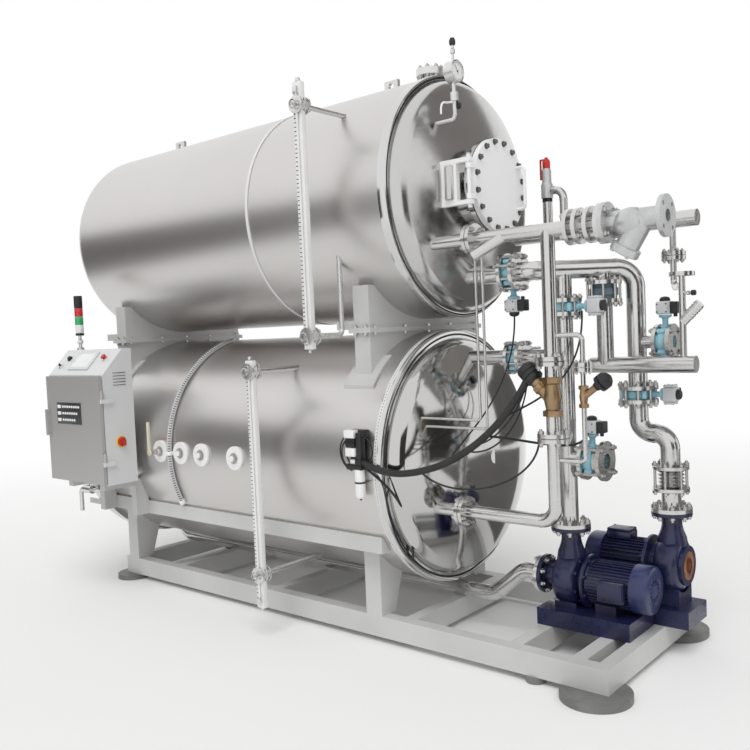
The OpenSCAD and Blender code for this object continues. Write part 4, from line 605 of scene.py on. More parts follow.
def wafer_valve(bm, centre, pipe_axis, stem_axis):
    """The ring, the neck with its plate and the ears of one valve."""
    half, waist = WAFER_T / 2, WAFER_R - 0.006
    ring = [(0, -half), (waist, -half), (waist, -half + 0.006), (WAFER_R, -half + 0.009),
            (WAFER_R, half - 0.009), (waist, half - 0.006), (waist, half), (0, half)]
    turned(bm, ring, facing(centre, pipe_axis), 40)
    neck = [(0, 0.05), (0.021, 0.05), (0.021, 0.07), (0.0135, 0.08), (0.0135, STEM_H - 0.022),
            (0.019, STEM_H - 0.014), (0.029, STEM_H - 0.011), (0.029, STEM_H - 0.001),
            (0, STEM_H - 0.001)]
    turned(bm, neck, facing(centre, stem_axis), 28)
    across = pipe_axis.cross(stem_axis)
    frame_of = Matrix((across, stem_axis, pipe_axis)).transposed().to_4x4()
    for side in (-1, 1):
        for tall in (-1, 1):
            ear = Vector((side, tall, 0)).normalized() * (WAFER_R + 0.002)
            spot = Matrix.Translation(centre) @ frame_of @ Matrix.Translation(ear)
            drum(bm, EAR_R, -half + 0.004, half - 0.004, spot, 16)


bm = bmesh.new()
for valve in BUTTERFLIES:
    wafer_valve(bm, *valve)
print("butterfly valve faces:", len(bm.faces))
keep(bm, "wafer_valves", valve_blue, slot="valve_paint", stands_for=["butterfly_valves"])

# %% [markdown]
# ## Valve actuators
# Each butterfly valve is turned by a small pneumatic actuator: a pale housing with a domed
# cap, an end cover on each side held by screws, and a dark connector with a cable gland.
# Rounded boxes are enough for the castings, and only the cap and the gland are turned.

# %% Valve actuators
ACT = Vector((0.064, 0.09, 0.062))


def actuator_place(centre, stem_axis):
    """The place on top of a valve's stem, with the connector to the side."""
    side = X.copy() if abs(stem_axis.z) > 0.9 else Z.cross(stem_axis).normalized()
    turn_to = Matrix((side, stem_axis.cross(side), stem_axis)).transposed().to_4x4()
    return Matrix.Translation(centre + stem_axis * STEM_H) @ turn_to


def end_screws(bm, at, end):
    """The four screws of an end cover."""
    for px in (-0.021, 0.021):
        for pz in (0.013, ACT.z - 0.013):
            spot = at @ Matrix.Translation((px, end * ACT.y / 2, pz))
            seat = spot @ Matrix.Rotation(-end * pi / 2, 4, "X") @ Matrix.Translation((0, 0, -0.0005))
            prism(bm, 0.0035, 0.002, seat, 8)


housings, caps = bmesh.new(), bmesh.new()
for centre, _, stem_axis in BUTTERFLIES:
    at = actuator_place(centre, stem_axis)
    rounded_box(housings, (-ACT.x / 2, -0.033, 0.001), (ACT.x / 2, 0.033, ACT.z), 0.007, at, 3)
    for end in (-1, 1):
        low, high = sorted((end * 0.0335, end * ACT.y / 2))
        rounded_box(housings, (-0.028, low, 0.006), (0.028, high, ACT.z - 0.006), 0.004, at)
        end_screws(caps, at, end)
    turned(caps, [(0, ACT.z), (0.024, ACT.z), (0.024, ACT.z + 0.01), (0.018, ACT.z + 0.018),
                  (0.007, ACT.z + 0.0215), (0, ACT.z + 0.022)], at, 24)
    rounded_box(caps, (ACT.x / 2 - 0.001, -0.028, 0.004), (ACT.x / 2 + 0.034, 0.028, 0.058), 0.005, at, 3)
    gland = at @ Matrix.Translation((ACT.x / 2 + 0.016, 0, 0.005)) @ Matrix.Rotation(pi, 4, "X")
    drum(caps, 0.009, 0, 0.016, gland, 12)
keep(housings, "actuator_housings", grey_plastic, slot="grey_plastic", stands_for=["valve_actuators"])
keep(caps, "actuator_caps", black_plastic, slot="black_plastic")
print("actuators:", len(BUTTERFLIES))

# %% [markdown]
# ## Bellows joint
# A steel bellows takes up the vibration of the rear pump. Its waves are part of the outline
# that is spun, between two flanges that keep the CAD's sizes. Rings set side by side would
# need many more parts and would never meet as smoothly.

# %% Bellows
WAVES, WAVE_STEPS = 5, 8
VALLEY_R, WAVE_H = 0.044, 0.017
low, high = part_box("bellows_joint")
length, outer = high[2] - low[2], (high[0] - low[0]) / 2
flange_end = [(0, 0), *soft_rim(outer, 0, FLANGE_T)]
outline = list(flange_end)
for i in range(WAVES * WAVE_STEPS + 1):
    rise = (1 - cos(tau * i / WAVE_STEPS)) / 2
    outline.append((VALLEY_R + WAVE_H * rise,
                    FLANGE_T + (length - 2 * FLANGE_T) * i / (WAVES * WAVE_STEPS)))
outline += [(r, length - h) for r, h in reversed(flange_end)]
foot = Matrix.Translation(((low[0] + high[0]) / 2, (low[1] + high[1]) / 2, low[2]))
turned_piece("bellows", pipe_steel, outline, foot, 56, slot="pipe_steel", stands_for=["bellows_joint"])
print("bellows waves:", WAVES)

# %% [markdown]
# ## The two pumps
# Both pumps are the same dark blue cast pump, turned end for end. The casing is a drum with
# soft shoulders, a suction flange on its axis and a discharge neck that flares into a flange.
# A sculpted volute would be truer, but most of it is hidden, and a spun outline gives the
# same soft highlights.

# %% Pump casings
VOLUTE_R, VOLUTE_HALF, NECK_R, FLANGE_R = 0.125, 0.055, 0.046, 0.0925
DISCHARGE_H, MOTOR_OFF, LANTERN_R = 0.25, 0.09, 0.078
CASING_BOLTS = (0.5, 1.2, 1.9, 2.6, 3.7, 4.4, 5.2, 5.9)
PUMPS = [(Vector((1.295, 0.015, 0.335)), -X, 0.145, -Y), (Vector((1.687, 0.26, 0.4)), X, 0.075, Z)]


def casing(bm, shaft, mouth, reach):
    """One cast casing with its two flanges and the bolts of its back."""
    at = facing(shaft, mouth)
    v, h = VOLUTE_R, VOLUTE_HALF
    turned(bm, [(0, -MOTOR_OFF), (LANTERN_R, -MOTOR_OFF), (LANTERN_R, -h - 0.012), (0.095, -h - 0.004),
                (0.108, -h), (0.118, -h + 0.01), (v, -h + 0.028), (v, h - 0.028), (0.118, h - 0.01),
                (0.104, h), (0.07, h + 0.006), (0.053, h + 0.012), (0.052, reach - FLANGE_T - 0.006),
                (0.058, reach - FLANGE_T), *soft_rim(FLANGE_R, reach - FLANGE_T, reach),
                (0.04, reach), (0.036, reach - 0.004), (0.036, reach - 0.03), (0, reach - 0.03)], at, 56)
    top = DISCHARGE_H
    turned(bm, [(0.07, 0.09), (0.064, 0.13), (0.052, 0.16), (NECK_R, 0.185),
                (NECK_R, top - FLANGE_T - 0.008), (0.054, top - FLANGE_T),
                *soft_rim(FLANGE_R, top - FLANGE_T, top), (0, top)], Matrix.Translation(shaft), 48)
    for angle in CASING_BOLTS:
        prism(bm, 0.009, 0.012, around(at, angle, 0.099, -VOLUTE_HALF - 0.011))


bm = bmesh.new()
for shaft, mouth, reach, _ in PUMPS:
    casing(bm, shaft, mouth, reach)
print("casing faces:", len(bm.faces))
keep(bm, "pump_castings", pump_blue, slot="pump_paint", stands_for=["pump_casings"])

# %% [markdown]
# ### Motors
# A motor has a bolted end flange, a ribbed body, a fan cover with slots and a terminal box.
# The body is spun, and its cooling ribs are one thin bevelled bar repeated round it. Real
# ribs cast fine shadows, which a bump map would miss at the outline.

# %% Ribbed body and fan cover
MOTOR_R, MOTOR_RIM, MOTOR_L, FAN_L = 0.104, 0.02, 0.315, 0.08
RIBS, RIB_T, RIB_H = 36, 0.0032, 0.011
FAN_FROM = MOTOR_L - FAN_L
FAN_SLOTS = ((0.042, 14), (0.072, 22))


def ribbed_body(bm, at):
    """The end flange, the core and the cooling ribs of one motor."""
    core, rim = MOTOR_R - RIB_H, MOTOR_R + MOTOR_RIM
    turned(bm, [(0, 0.001), (rim - 0.003, 0.001), (rim, 0.004), (rim, FLANGE_T - 0.003),
                (rim - 0.004, FLANGE_T), (0.098, FLANGE_T), (core, 0.03), (core, FAN_FROM),
                (0, FAN_FROM)], at, 64)
    for i in range(RIBS):
        rounded_box(bm, (core - 0.002, -RIB_T / 2, 0.026), (MOTOR_R - 0.0005, RIB_T / 2, FAN_FROM - 0.004),
                    0.0011, at @ Matrix.Rotation(tau * i / RIBS, 4, "Z"), 1)


def fan_cover(bm, at):
    """The cover over the fan, with two rings of ribs on its face."""
    r, end = MOTOR_R + 0.006, MOTOR_L - 0.001
    turned(bm, [(MOTOR_R - 0.008, FAN_FROM - 0.004), (r, FAN_FROM - 0.004), (r, MOTOR_L - 0.016),
                (r - 0.006, MOTOR_L - 0.006), (r - 0.018, end), (0.06, end), (0.055, end - 0.004),
                (0.03, end - 0.004), (0.026, end), (0, end)], at, 56)
    for ring, count in FAN_SLOTS:
        for i in range(count):
            rounded_box(bm, (ring - 0.008, -0.0022, MOTOR_L - 0.004),
                        (ring + 0.008, 0.0022, MOTOR_L + 0.0005), 0.0009,
                        at @ Matrix.Rotation(tau * i / count, 4, "Z"), 1)


print("ribs of a motor:", RIBS)

# %% Terminal box and assembly


def terminal_box(bm, shaft, mouth, box_side):
    """The box on the motor's side, its lid and the lid's four screws."""
    middle = shaft - mouth * (MOTOR_OFF + MOTOR_L / 2)
    lid = facing(middle + box_side * (MOTOR_R - 0.01), box_side)
    run = lid.to_3x3().transposed() @ mouth
    wide, deep = (0.06, 0.045) if abs(run.x) > 0.5 else (0.045, 0.06)
    rounded_box(bm, (-wide, -deep, 0.001), (wide, deep, 0.038), 0.004, lid)
    rounded_box(bm, (-wide + 0.002, -deep + 0.002, 0.0385), (wide - 0.002, deep - 0.002, 0.0495),
                0.004, lid, 3)
    for sx in (-1, 1):
        for sy in (-1, 1):
            screw = lid @ Matrix.Translation((sx * (wide - 0.01), sy * (deep - 0.01), 0.048))
            prism(bm, 0.004, 0.003, screw)


ribbed, covers, boxes = bmesh.new(), bmesh.new(), bmesh.new()
for shaft, mouth, _, box_side in PUMPS:
    at = facing(shaft - mouth * MOTOR_OFF, -mouth)
    ribbed_body(ribbed, at)
    fan_cover(covers, at)
    terminal_box(boxes, shaft, mouth, box_side)
    for i in range(8):
        prism(boxes, 0.0095, 0.009, around(at, tau * (i + 0.5) / 8, MOTOR_R + 0.008, FLANGE_T))
print("motor faces:", len(ribbed.faces))
keep(ribbed, "ribbed_motors", pump_blue, slot="pump_paint", stands_for=["pump_motors"])
keep(covers, "fan_covers", fan_blue, slot="pump_paint")
keep(boxes, "terminal_boxes", pump_blue, slot="pump_paint")

# %% [markdown]
# ### The open suction
# The rear pump's suction is open, and its bore has rusted. A short turned cup with a rusty
# finish lines it, so the casting keeps one plain paint.

# %% Rusty bore
shaft, mouth, reach, _ = PUMPS[1]
at = facing(shaft + mouth * reach, mouth)
bm = bmesh.new()
turned(bm, [(0.0355, -0.003), (0.0355, -0.029), (0.02, -0.0295), (0, -0.0295)], at, 32)
turned(bm, [(0.0362, 0.0004), (0.064, 0.0012), (0.066, 0.0004)], at, 40)
print("bore faces:", len(bm.faces))
keep(bm, "rusty_suction_bore", rusty)

# %% [markdown]
# ## Strainer
# The Y-strainer is a silver-painted casting with a round belly. Its leg ends in a bolted cap.
# Both are turned on their own axes and simply meet, as the casting hides where they join.

# %% Strainer
LEG_END = Vector((1.765, STEAM_Y, STEAM_Z - 0.125))
LEG_AXIS = (LEG_END - Vector((1.85, STEAM_Y, STEAM_Z + 0.01))).normalized()
CAP_BOLTS = 4
at = facing(LEG_END, LEG_AXIS)
bm = bmesh.new()
turned(bm, [(0.048, -0.03), (0.06, -0.026), (0.06, -0.012), (0.06, -0.0105), (0.06, 0.002),
            (0.057, 0.005), (0.022, 0.006), (0.018, 0.012), (0, 0.013)], at, 40)
for i in range(CAP_BOLTS):
    prism(bm, 0.008, 0.008, around(at, tau * (i + 0.5) / CAP_BOLTS, 0.05, 0.004))
turned(bm, [(0, -0.078), (0.028, -0.07), (0.048, -0.05), (0.058, -0.025), (0.062, 0), (0.058, 0.025),
            (0.048, 0.05), (0.028, 0.07), (0, 0.078)], facing((1.80, STEAM_Y, STEAM_Z - 0.012), X), 40)
print("strainer faces:", len(bm.faces))
keep(bm, "strainer_cap", silver_paint, slot="silver_paint")

# %% [markdown]
# ## Brass valves and check valve
# Two angle-seat valves of brass open and close the steam. Their bodies have hexagon ends and
# a slanting leg, and their black actuators are turned drums with grooves and a domed top. The
# check valve is a plain wafer in the valves' blue, darkened as painted shade for the shadow
# it sits in between its flanges.

# %% Brass valves
SMALL_X = 1.574
BRASS_LEG, SMALL_LEG = Vector((-75, 0, 80)), Vector((55, 0, 40))
BRASS_FROM, BRASS_DIR = Vector((1.43, STEAM_Y, 1.22)), BRASS_LEG.normalized()
SMALL_FROM, SMALL_DIR = Vector((SMALL_X, STEAM_Y, 1.2375)), SMALL_LEG.normalized()
BRASS_SEAT, SMALL_SEAT = BRASS_LEG.length / 1000, SMALL_LEG.length / 1000
bm = bmesh.new()
turned(bm, [(0.03, 1.15), (0.036, 1.152), (0.036, 1.176), (0.029, 1.182), (0.033, 1.2), (0.039, 1.235),
            (0.033, 1.27), (0.029, 1.288), (0.036, 1.294), (0.036, 1.318), (0.03, 1.32)],
       Matrix.Translation(RISER), 40)
for z in (1.152, 1.294):
    prism(bm, 0.0425, 0.024, Matrix.Translation(RISER + Z * z))
at = facing(BRASS_FROM, BRASS_DIR)
turned(bm, [(0.029, 0), (0.029, 0.06), (0.0355, 0.066), (0.0355, 0.088), (0.029, 0.092),
            (0.029, BRASS_SEAT - 0.001), (0, BRASS_SEAT - 0.001)], at, 36)
prism(bm, 0.038, 0.02, at @ Matrix.Translation((0, 0, 0.067)))
turned(bm, [(0.0105, 1.19), (0.017, 1.191), (0.017, 1.206), (0.0145, 1.211), (0.0185, 1.2375),
            (0.0145, 1.264), (0.017, 1.269), (0.017, 1.284), (0.0105, 1.285)],
       Matrix.Translation((SMALL_X, STEAM_Y, 0)), 32)
for z in (1.192, 1.268):
    prism(bm, 0.0205, 0.015, Matrix.Translation((SMALL_X, STEAM_Y, z)))
turned(bm, [(0.0145, 0), (0.0145, SMALL_SEAT - 0.001), (0, SMALL_SEAT - 0.001)],
       facing(SMALL_FROM, SMALL_DIR), 28)
print("brass valve faces:", len(bm.faces))
keep(bm, "brass_bodies", brass, slot="valve_brass", stands_for=["brass_valves"])

# %% Brass valve actuators
bm = bmesh.new()
turned(bm, [(0, 0), (0.03, 0), (0.036, 0.006), (0.043, 0.012), (0.043, 0.03), (0.04, 0.032),
            (0.043, 0.034), (0.043, 0.052), (0.04, 0.054), (0.043, 0.056), (0.043, 0.074),
            (0.036, 0.086), (0.02, 0.092), (0.008, 0.0945), (0, 0.0945)],
       facing(BRASS_FROM + BRASS_DIR * BRASS_SEAT, BRASS_DIR), 44)
turned(bm, [(0, 0), (0.018, 0), (0.02, 0.012), (0.035, 0.02), (0.036, 0.034), (0.03, 0.037),
            (0.036, 0.04), (0.035, 0.056), (0.024, 0.07), (0.009, 0.0785), (0, 0.0795)],
       facing(SMALL_FROM + SMALL_DIR * SMALL_SEAT, SMALL_DIR), 40)
print("diaphragm head faces:", len(bm.faces))
keep(bm, "diaphragm_heads", black_plastic, slot="black_plastic", stands_for=["brass_valve_actuators"])

# %% Check valve
low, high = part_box("return_check_valve")
h = high[2] - low[2]
# The body's blue is darkened as painted shade, for the shadow between its flanges.
turned_piece("check_valve_body", shaded_valve_blue,
             [(0, 0), (0.058, 0), (0.06, 0.004), (0.06, 0.014), (0.066, 0.02), (0.066, h - 0.02),
              (0.06, h - 0.014), (0.06, h - 0.004), (0.058, h), (0, h)],
             Matrix.Translation((RETURN.x, RETURN.y, low[2])), 44,
             slot="dark_steel", stands_for=["return_check_valve"])
print("check valve height:", round(h, 3))

# %% [markdown]
# ## Safety valve
# A spring safety valve stands on the vent header: dark foot, grey body in two diameters, a
# red cap and a red lifting lever. Body, foot and cap are turned, the foot with only six steps
# so that it is a hexagon. The lever is two rounded bars.

# %% Safety valve
low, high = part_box("safety_valve")
tall = high[2] - low[2]
at = Matrix.Translation((1.068, 0.31, low[2]))
turned_piece("safety_valve_body", silver_paint,
             [(0, 0.018), (0.029, 0.018), (0.03, 0.022), (0.03, 0.085), (0.026, 0.094), (0.0235, 0.1),
              (0.0235, 0.16), (0.02, 0.168), (0, 0.168)], at, 36,
             slot="silver_paint", stands_for=["safety_valve"])
turned_piece("safety_valve_foot", black_plastic,
             [(0, 0), (0.028, 0), (0.0285, 0.004), (0.0285, 0.016), (0.026, 0.0185), (0, 0.0185)], at, 6)
bm = bmesh.new()
turned(bm, [(0, 0.168), (0.0185, 0.168), (0.0195, 0.172), (0.0195, 0.205), (0.015, 0.214),
            (0.009, 0.218), (0.009, tall - 0.002), (0.007, tall), (0, tall)], at, 28)
rounded_box(bm, (-0.034, -0.006, tall - 0.014), (0.004, 0.006, tall - 0.006), 0.002, at)
rounded_box(bm, (-0.036, -0.006, 0.115), (-0.029, 0.006, tall - 0.007), 0.002, at)
keep(bm, "safety_cap_and_lever", red_enamel)
print("safety valve height:", round(tall, 3))

# %% [markdown]
# ## Vessel rims
# At the pump end both vessels finish in a polished rim. Its section is a closed outline with
# rounded corners and a groove for the seal, spun about the vessel. The dished heads give the
# inner radius, so each rim closes round its head. The retort's rim also carries a pale strip
# with a row of small dark slots.

# %% Rims
RETORT_Z, TANK_Z = 0.89, 2.2
RIM_L, RIM_STEPS, RIM_GAP, GROOVE_SHARE = 0.045, 160, 0.0003, 0.45
RETORT_RIM = facing((0.64, 0, RETORT_Z), X)
RIMS = [("retort_rear_head", RETORT_RIM, 0.65), ("tank_rear_head", facing((0.70, 0, TANK_Z), X), 0.605)]
rims, seals = bmesh.new(), bmesh.new()
for head, at, outer in RIMS:
    low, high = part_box(head)
    inner = (high[1] - low[1]) / 2 + RIM_GAP
    groove = inner + GROOVE_SHARE * (outer - inner)
    turned(rims, [(inner, 0), (outer, 0), (outer, RIM_L - 0.012), (outer - 0.003, RIM_L - 0.004),
                  (outer - 0.01, RIM_L), (groove + 0.005, RIM_L), (groove + 0.003, RIM_L - 0.006),
                  (groove - 0.003, RIM_L - 0.006), (groove - 0.005, RIM_L), (inner + 0.006, RIM_L),
                  (inner, RIM_L - 0.006)], at, RIM_STEPS, closed=True)
    turned(seals, [(groove - 0.0028, RIM_L - 0.0058), (groove - 0.0022, RIM_L - 0.002),
                   (groove + 0.0022, RIM_L - 0.002), (groove + 0.0028, RIM_L - 0.0058)],
           at, RIM_STEPS, closed=True)
    print("rim radius:", round(inner, 4))
keep(rims, "polished_rims", rim_steel, slot="polished_steel", stands_for=["rim_rings"])
keep(seals, "rim_seals", rubber)

# %% Retort strip
STRIP_IN, STRIP_R, SLOTS = 0.6502, 0.6512, 260
turned_piece("retort_strip", band_white, [(STRIP_IN, 0.004), (STRIP_R, 0.0045), (STRIP_R, 0.0235),
                                          (STRIP_IN, 0.024)], RETORT_RIM, RIM_STEPS, closed=True)
bm = bmesh.new()
for i in range(SLOTS):
    rounded_box(bm, (STRIP_R - 0.0005, -0.0026, 0.0115), (STRIP_R + 0.0006, 0.0026, 0.0165), 0.0003,
                RETORT_RIM @ Matrix.Rotation(tau * i / SLOTS, 4, "Z"), 1)
keep(bm, "retort_strip_slots", dark_bolt)
print("slots of the strip:", SLOTS)

# %% [markdown]
# ## Manway
# The manway's cover is clamped by sixteen bolts. Their heads ride on the cover, and the nuts
# behind the flange stay with the tank, so nothing tears when the cover swings. A dark gasket
# fills the gap between the two, and a polished sleeve covers the hinge.

# %% Manway
MANWAY = Vector((1.010, -0.100, 2.210))
MANWAY_CIRCLE, MANWAY_BOLTS = 0.204, 16
COVER_FRONT, FLANGE_BACK = 0.0332, -0.025
at = facing(MANWAY, X)
turned_piece("manway_gasket", rubber, [(0.18, 0.0003), (0.217, 0.0003), (0.217, 0.0046), (0.18, 0.0046)],
             at, 96, closed=True)
heads, nuts = bmesh.new(), bmesh.new()
for i in range(MANWAY_BOLTS):
    spot = around(at, tau * (i + 0.5) / MANWAY_BOLTS, MANWAY_CIRCLE)
    drum(heads, 0.0145, COVER_FRONT - 0.0004, COVER_FRONT + 0.0022, spot, 20, 0.0006)
    prism(heads, 0.0115, 0.011, spot @ Matrix.Translation((0, 0, COVER_FRONT + 0.002)))
    prism(nuts, 0.0125, 0.013, spot @ Matrix.Translation((0, 0, FLANGE_BACK - 0.013)))
keep(heads, "cover_bolt_heads", dark_bolt, body="manway_cover")
for side in (-1, 1):
    prism(nuts, 0.016, 0.012, facing((1.029, -0.345, MANWAY.z + side * 0.124), side * Z))
keep(nuts, "manway_nuts", dark_bolt)
print("manway bolts:", MANWAY_BOLTS)

# %% Sleeve of the manway hinge
low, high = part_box("manway_hinge")
turned_piece("hinge_sleeve", mirror, disc(0.026, -0.078, 0.078, 0.004),
             Matrix.Translation((low[0] + 0.05, -0.352, MANWAY.z)), 32)
print("sleeve at x:", round(low[0] + 0.05, 3))

# %% [markdown]
# ## Pressure gauge
# The pressure gauge on the tank's head has a white face behind a thin bezel, plain ticks and a
# needle. A small vent with a dark cap stands above it, and a bent lever hangs from its
# shut-off cock. Ticks are thin raised bars, because a picture on the face would be a texture
# to carry along.

# %% Gauge case and face
DIAL = Vector((0.955, -0.330, 2.712))
DIAL_R, DIAL_T = 0.05, 0.042
at = facing(DIAL + X * (DIAL_T / 2), X)
vent = Matrix.Translation((DIAL.x, DIAL.y, 0))
bm = bmesh.new()
turned(bm, [(DIAL_R - 0.007, -0.002), (DIAL_R + 0.0015, -0.002), (DIAL_R + 0.0015, 0.004),
            (DIAL_R - 0.002, 0.006), (DIAL_R - 0.006, 0.004)], at, 48, closed=True)
turned(bm, [(0, 2.76), (0.006, 2.76), (0.006, 2.795), (0.011, 2.797), (0.011, 2.815), (0.007, 2.819),
            (0.007, 2.835), (0, 2.835)], vent, 20)
keep(bm, "gauge_bezel", satin)
turned_piece("gauge_face", dial_white, disc(DIAL_R - 0.006, 0.0002, 0.0012, 0.0002), at, 48)
print("dial radius:", DIAL_R)

# %% Gauge marks
TICKS, SWEEP, TICK_R = 25, radians(270), 0.0405
LONG_TICK, SHORT_TICK = 0.009, 0.005
bm = bmesh.new()
for i in range(TICKS):
    length = LONG_TICK if i % 6 == 0 else SHORT_TICK
    turn_to = at @ Matrix.Rotation(-SWEEP / 2 + SWEEP * i / (TICKS - 1), 4, "Z")
    rounded_box(bm, (TICK_R - length, -0.0005, 0.0012), (TICK_R, 0.0005, 0.0018), 0.0001, turn_to, 1)
needle = at @ Matrix.Rotation(2.2, 4, "Z")
rounded_box(bm, (-0.012, -0.0009, 0.002), (0.032, 0.0009, 0.003), 0.0003, needle, 1)
drum(bm, 0.004, 0.0012, 0.0036, at, 16, 0.0005)
turned(bm, [(0, 2.834), (0.012, 2.834), (0.0145, 2.84), (0.0145, 2.855), (0.009, 2.866), (0, 2.866)],
       vent, 20)
drum(bm, 0.016, -0.014, 0.014, facing((DIAL.x, DIAL.y + 0.022, 2.567), Y), 20, 0.003)
keep(bm, "gauge_marks_and_cap", plain_black_and_slot_shade)
LEVER = ((-0.345, 2.575), (-0.385, 2.566), (-0.425, 2.556), (-0.436, 2.54), (-0.44, 2.505))
pipe_curve("gauge_cock_lever", [(DIAL.x, y, z) for y, z in LEVER], 0.0045, white_steel)
print("gauge ticks:", TICKS)

# %% [markdown]
# ## Level gauges
# Two tall level gauges stand before the shells. Each has a white channel with plain ticks on
# its face, a glass tube between two end blocks, and bolted collars with a small wheel at each
# branch. One loop makes both from their place, their ends and the heights of their branches.

# %% Level gauges
GAUGE_Y, BOARD_T = -0.75, 0.016
BOARD_HALF, LIP_T, LIP_DEEP = 0.026, 0.003, 0.024
LEVEL_GAUGES = [(0.370, 1.470, 2.720, (1.535, 2.610)), (-0.058, 0.156, 1.430, (0.330, 1.370))]
TICK_STEP, LONG_MARK, SHORT_MARK = 0.02, 0.019, 0.013
COLLARS = (-0.036, -0.012, 0.020)
front = GAUGE_Y - BOARD_T / 2
boards, glass, fittings, ticks, wheels = (bmesh.new() for _ in range(5))


def channel(x, z0, z1):
    """The board with its two lips, and the ticks on its face."""
    left, right = x - BOARD_HALF, x + BOARD_HALF
    low, high = z0 + 0.004, z1 - 0.004
    rounded_box(boards, (left, front - 0.003, low), (right, front - 0.0001, high), 0.001)
    for edge in (left, right - LIP_T):
        rounded_box(boards, (edge, front - 0.001, low), (edge + LIP_T, front + LIP_DEEP, high), 0.001)
    for i in range(int((z1 - z0 - 0.16) / TICK_STEP)):
        z = z0 + 0.08 + TICK_STEP * i
        length = LONG_MARK if i % 5 == 0 else SHORT_MARK
        rounded_box(ticks, (left + 0.002, front - 0.0036, z - 0.002),
                    (left + 0.002 + length, front - 0.0028, z + 0.002), 0.0001, Matrix(), 1)


def branch(at):
    """The collars, bolts and small wheel where a gauge meets the vessel."""
    for p in COLLARS:
        turned(fittings, [(0.0315, p - 0.005), (0.041, p - 0.0045), (0.042, p - 0.003), (0.042, p + 0.003),
                          (0.041, p + 0.0045), (0.0315, p + 0.005)], at, 32, closed=True)
    bolt_ring(wheels, at @ Matrix.Translation((0, 0, -0.024)), 0.0362, 4, 0.034, 0.006, pi / 4, 0.3)
    turned(wheels, [(0, 0.024), (0.006, 0.024), (0.006, 0.046), (0, 0.046)], at, 16)
    turned(wheels, [(0.016, 0.04), (0.02, 0.039), (0.022, 0.043), (0.02, 0.047), (0.016, 0.046)],
           at, 32, closed=True)
    rounded_box(wheels, (-0.018, -0.003, 0.041), (0.018, 0.003, 0.045), 0.001, at)


for x, z0, z1, branches in LEVEL_GAUGES:
    channel(x, z0, z1)
    tube = Matrix.Translation((x + 0.004, front - 0.011, 0))
    drum(glass, 0.0055, z0 + 0.05, z1 - 0.05, tube, 16, 0.001)
    for z in (z0 + 0.045, z1 - 0.045):
        rounded_box(fittings, (x - 0.012, front - 0.02, z - 0.016),
                    (x + 0.014, front - 0.002, z + 0.016), 0.002)
    post = Matrix.Translation((x, GAUGE_Y, 0))
    drum(fittings, 0.012, z1 - 0.002, z1 + 0.016, post, 20, 0.003)
    drum(fittings, 0.008, z0 - 0.014, z0 + 0.002, post, 20, 0.002)
    for z in branches:
        branch(facing((x, GAUGE_Y, z), -Y))
keep(boards, "gauge_boards", dial_white)
keep(glass, "gauge_glass", clear_lens)
keep(fittings, "gauge_fittings", satin, slot="satin_steel")
keep(ticks, "gauge_ticks", plain_black_and_slot_shade)
keep(wheels, "gauge_wheels", bolt_steel)
print("level gauges:", len(LEVEL_GAUGES))

# %% [markdown]
# ## Rosettes and sample cock
# Four white rosettes cover the sensor sockets of the retort. Each gets a raised rim and a
# hexagon plug, and the sample cock in the first one gets two nuts.

# %% Rosettes
ROSETTES, ROSETTE_Y, ROSETTE_Z, COCK_Y = (-1.003, -0.811, -0.625, -0.339), -0.652, 0.896, -0.672
rims, plugs = bmesh.new(), bmesh.new()
for x in ROSETTES:
    at = facing((x, ROSETTE_Y, ROSETTE_Z), -Y)
    turned(rims, [(0.052, -0.001), (0.0635, -0.001), (0.0635, 0.0012), (0.061, 0.0022), (0.052, 0.0006)],
           at, 48, closed=True)
    drum(plugs, 0.03, -0.0005, 0.004, at, 32, 0.001)
    prism(plugs, 0.0245, 0.012, at @ Matrix.Translation((0, 0, 0.003)))
cock = facing((ROSETTES[0], COCK_Y, ROSETTE_Z), -Y)
prism(plugs, 0.0175, 0.014, cock @ Matrix.Translation((0, 0, 0.003)))
prism(plugs, 0.0165, 0.01, cock @ Matrix.Translation((0, 0, 0.027)))
keep(rims, "rosette_rims", white_steel)
keep(plugs, "socket_plugs", bolt_steel)
print("rosettes:", len(ROSETTES))

# %% [markdown]
# ## Cable duct
# The duct that climbs the retort is slotted along its side, so a row of small slots follows its
# arc; their dark is painted shade, a dark inlay where each opening would be. A clamp holds it
# level with the rosettes, and a collar closes each end. Cutting the slots out of the duct would
# cost many faces, and the dark inlays of painted shade read the same.

# %% Cable duct
DUCT_X, DUCT_RING = -0.907, 0.6543
DUCT_FROM, DUCT_TO, DUCT_SLOTS = radians(101), radians(207), 84
DUCT_TILT = radians(46)


def on_duct(angle):
    """A place on the duct: Z outwards, Y along the arc."""
    out = Vector((0, cos(angle), sin(angle)))
    along = Vector((0, -sin(angle), cos(angle)))
    turn_to = Matrix((out.cross(along), -along, out)).transposed().to_4x4()
    return Matrix.Translation(Vector((DUCT_X, 0, RETORT_Z)) + DUCT_RING * out) @ turn_to


def duct_collar(bm, angle, bore, outer, half):
    """A short collar round the duct."""
    turned(bm, [(bore, -half), (outer - 0.001, -half), (outer, -half + 0.002), (outer, half - 0.002),
                (outer - 0.001, half), (bore, half)],
           on_duct(angle) @ Matrix.Rotation(-pi / 2, 4, "X"), 32, closed=True)
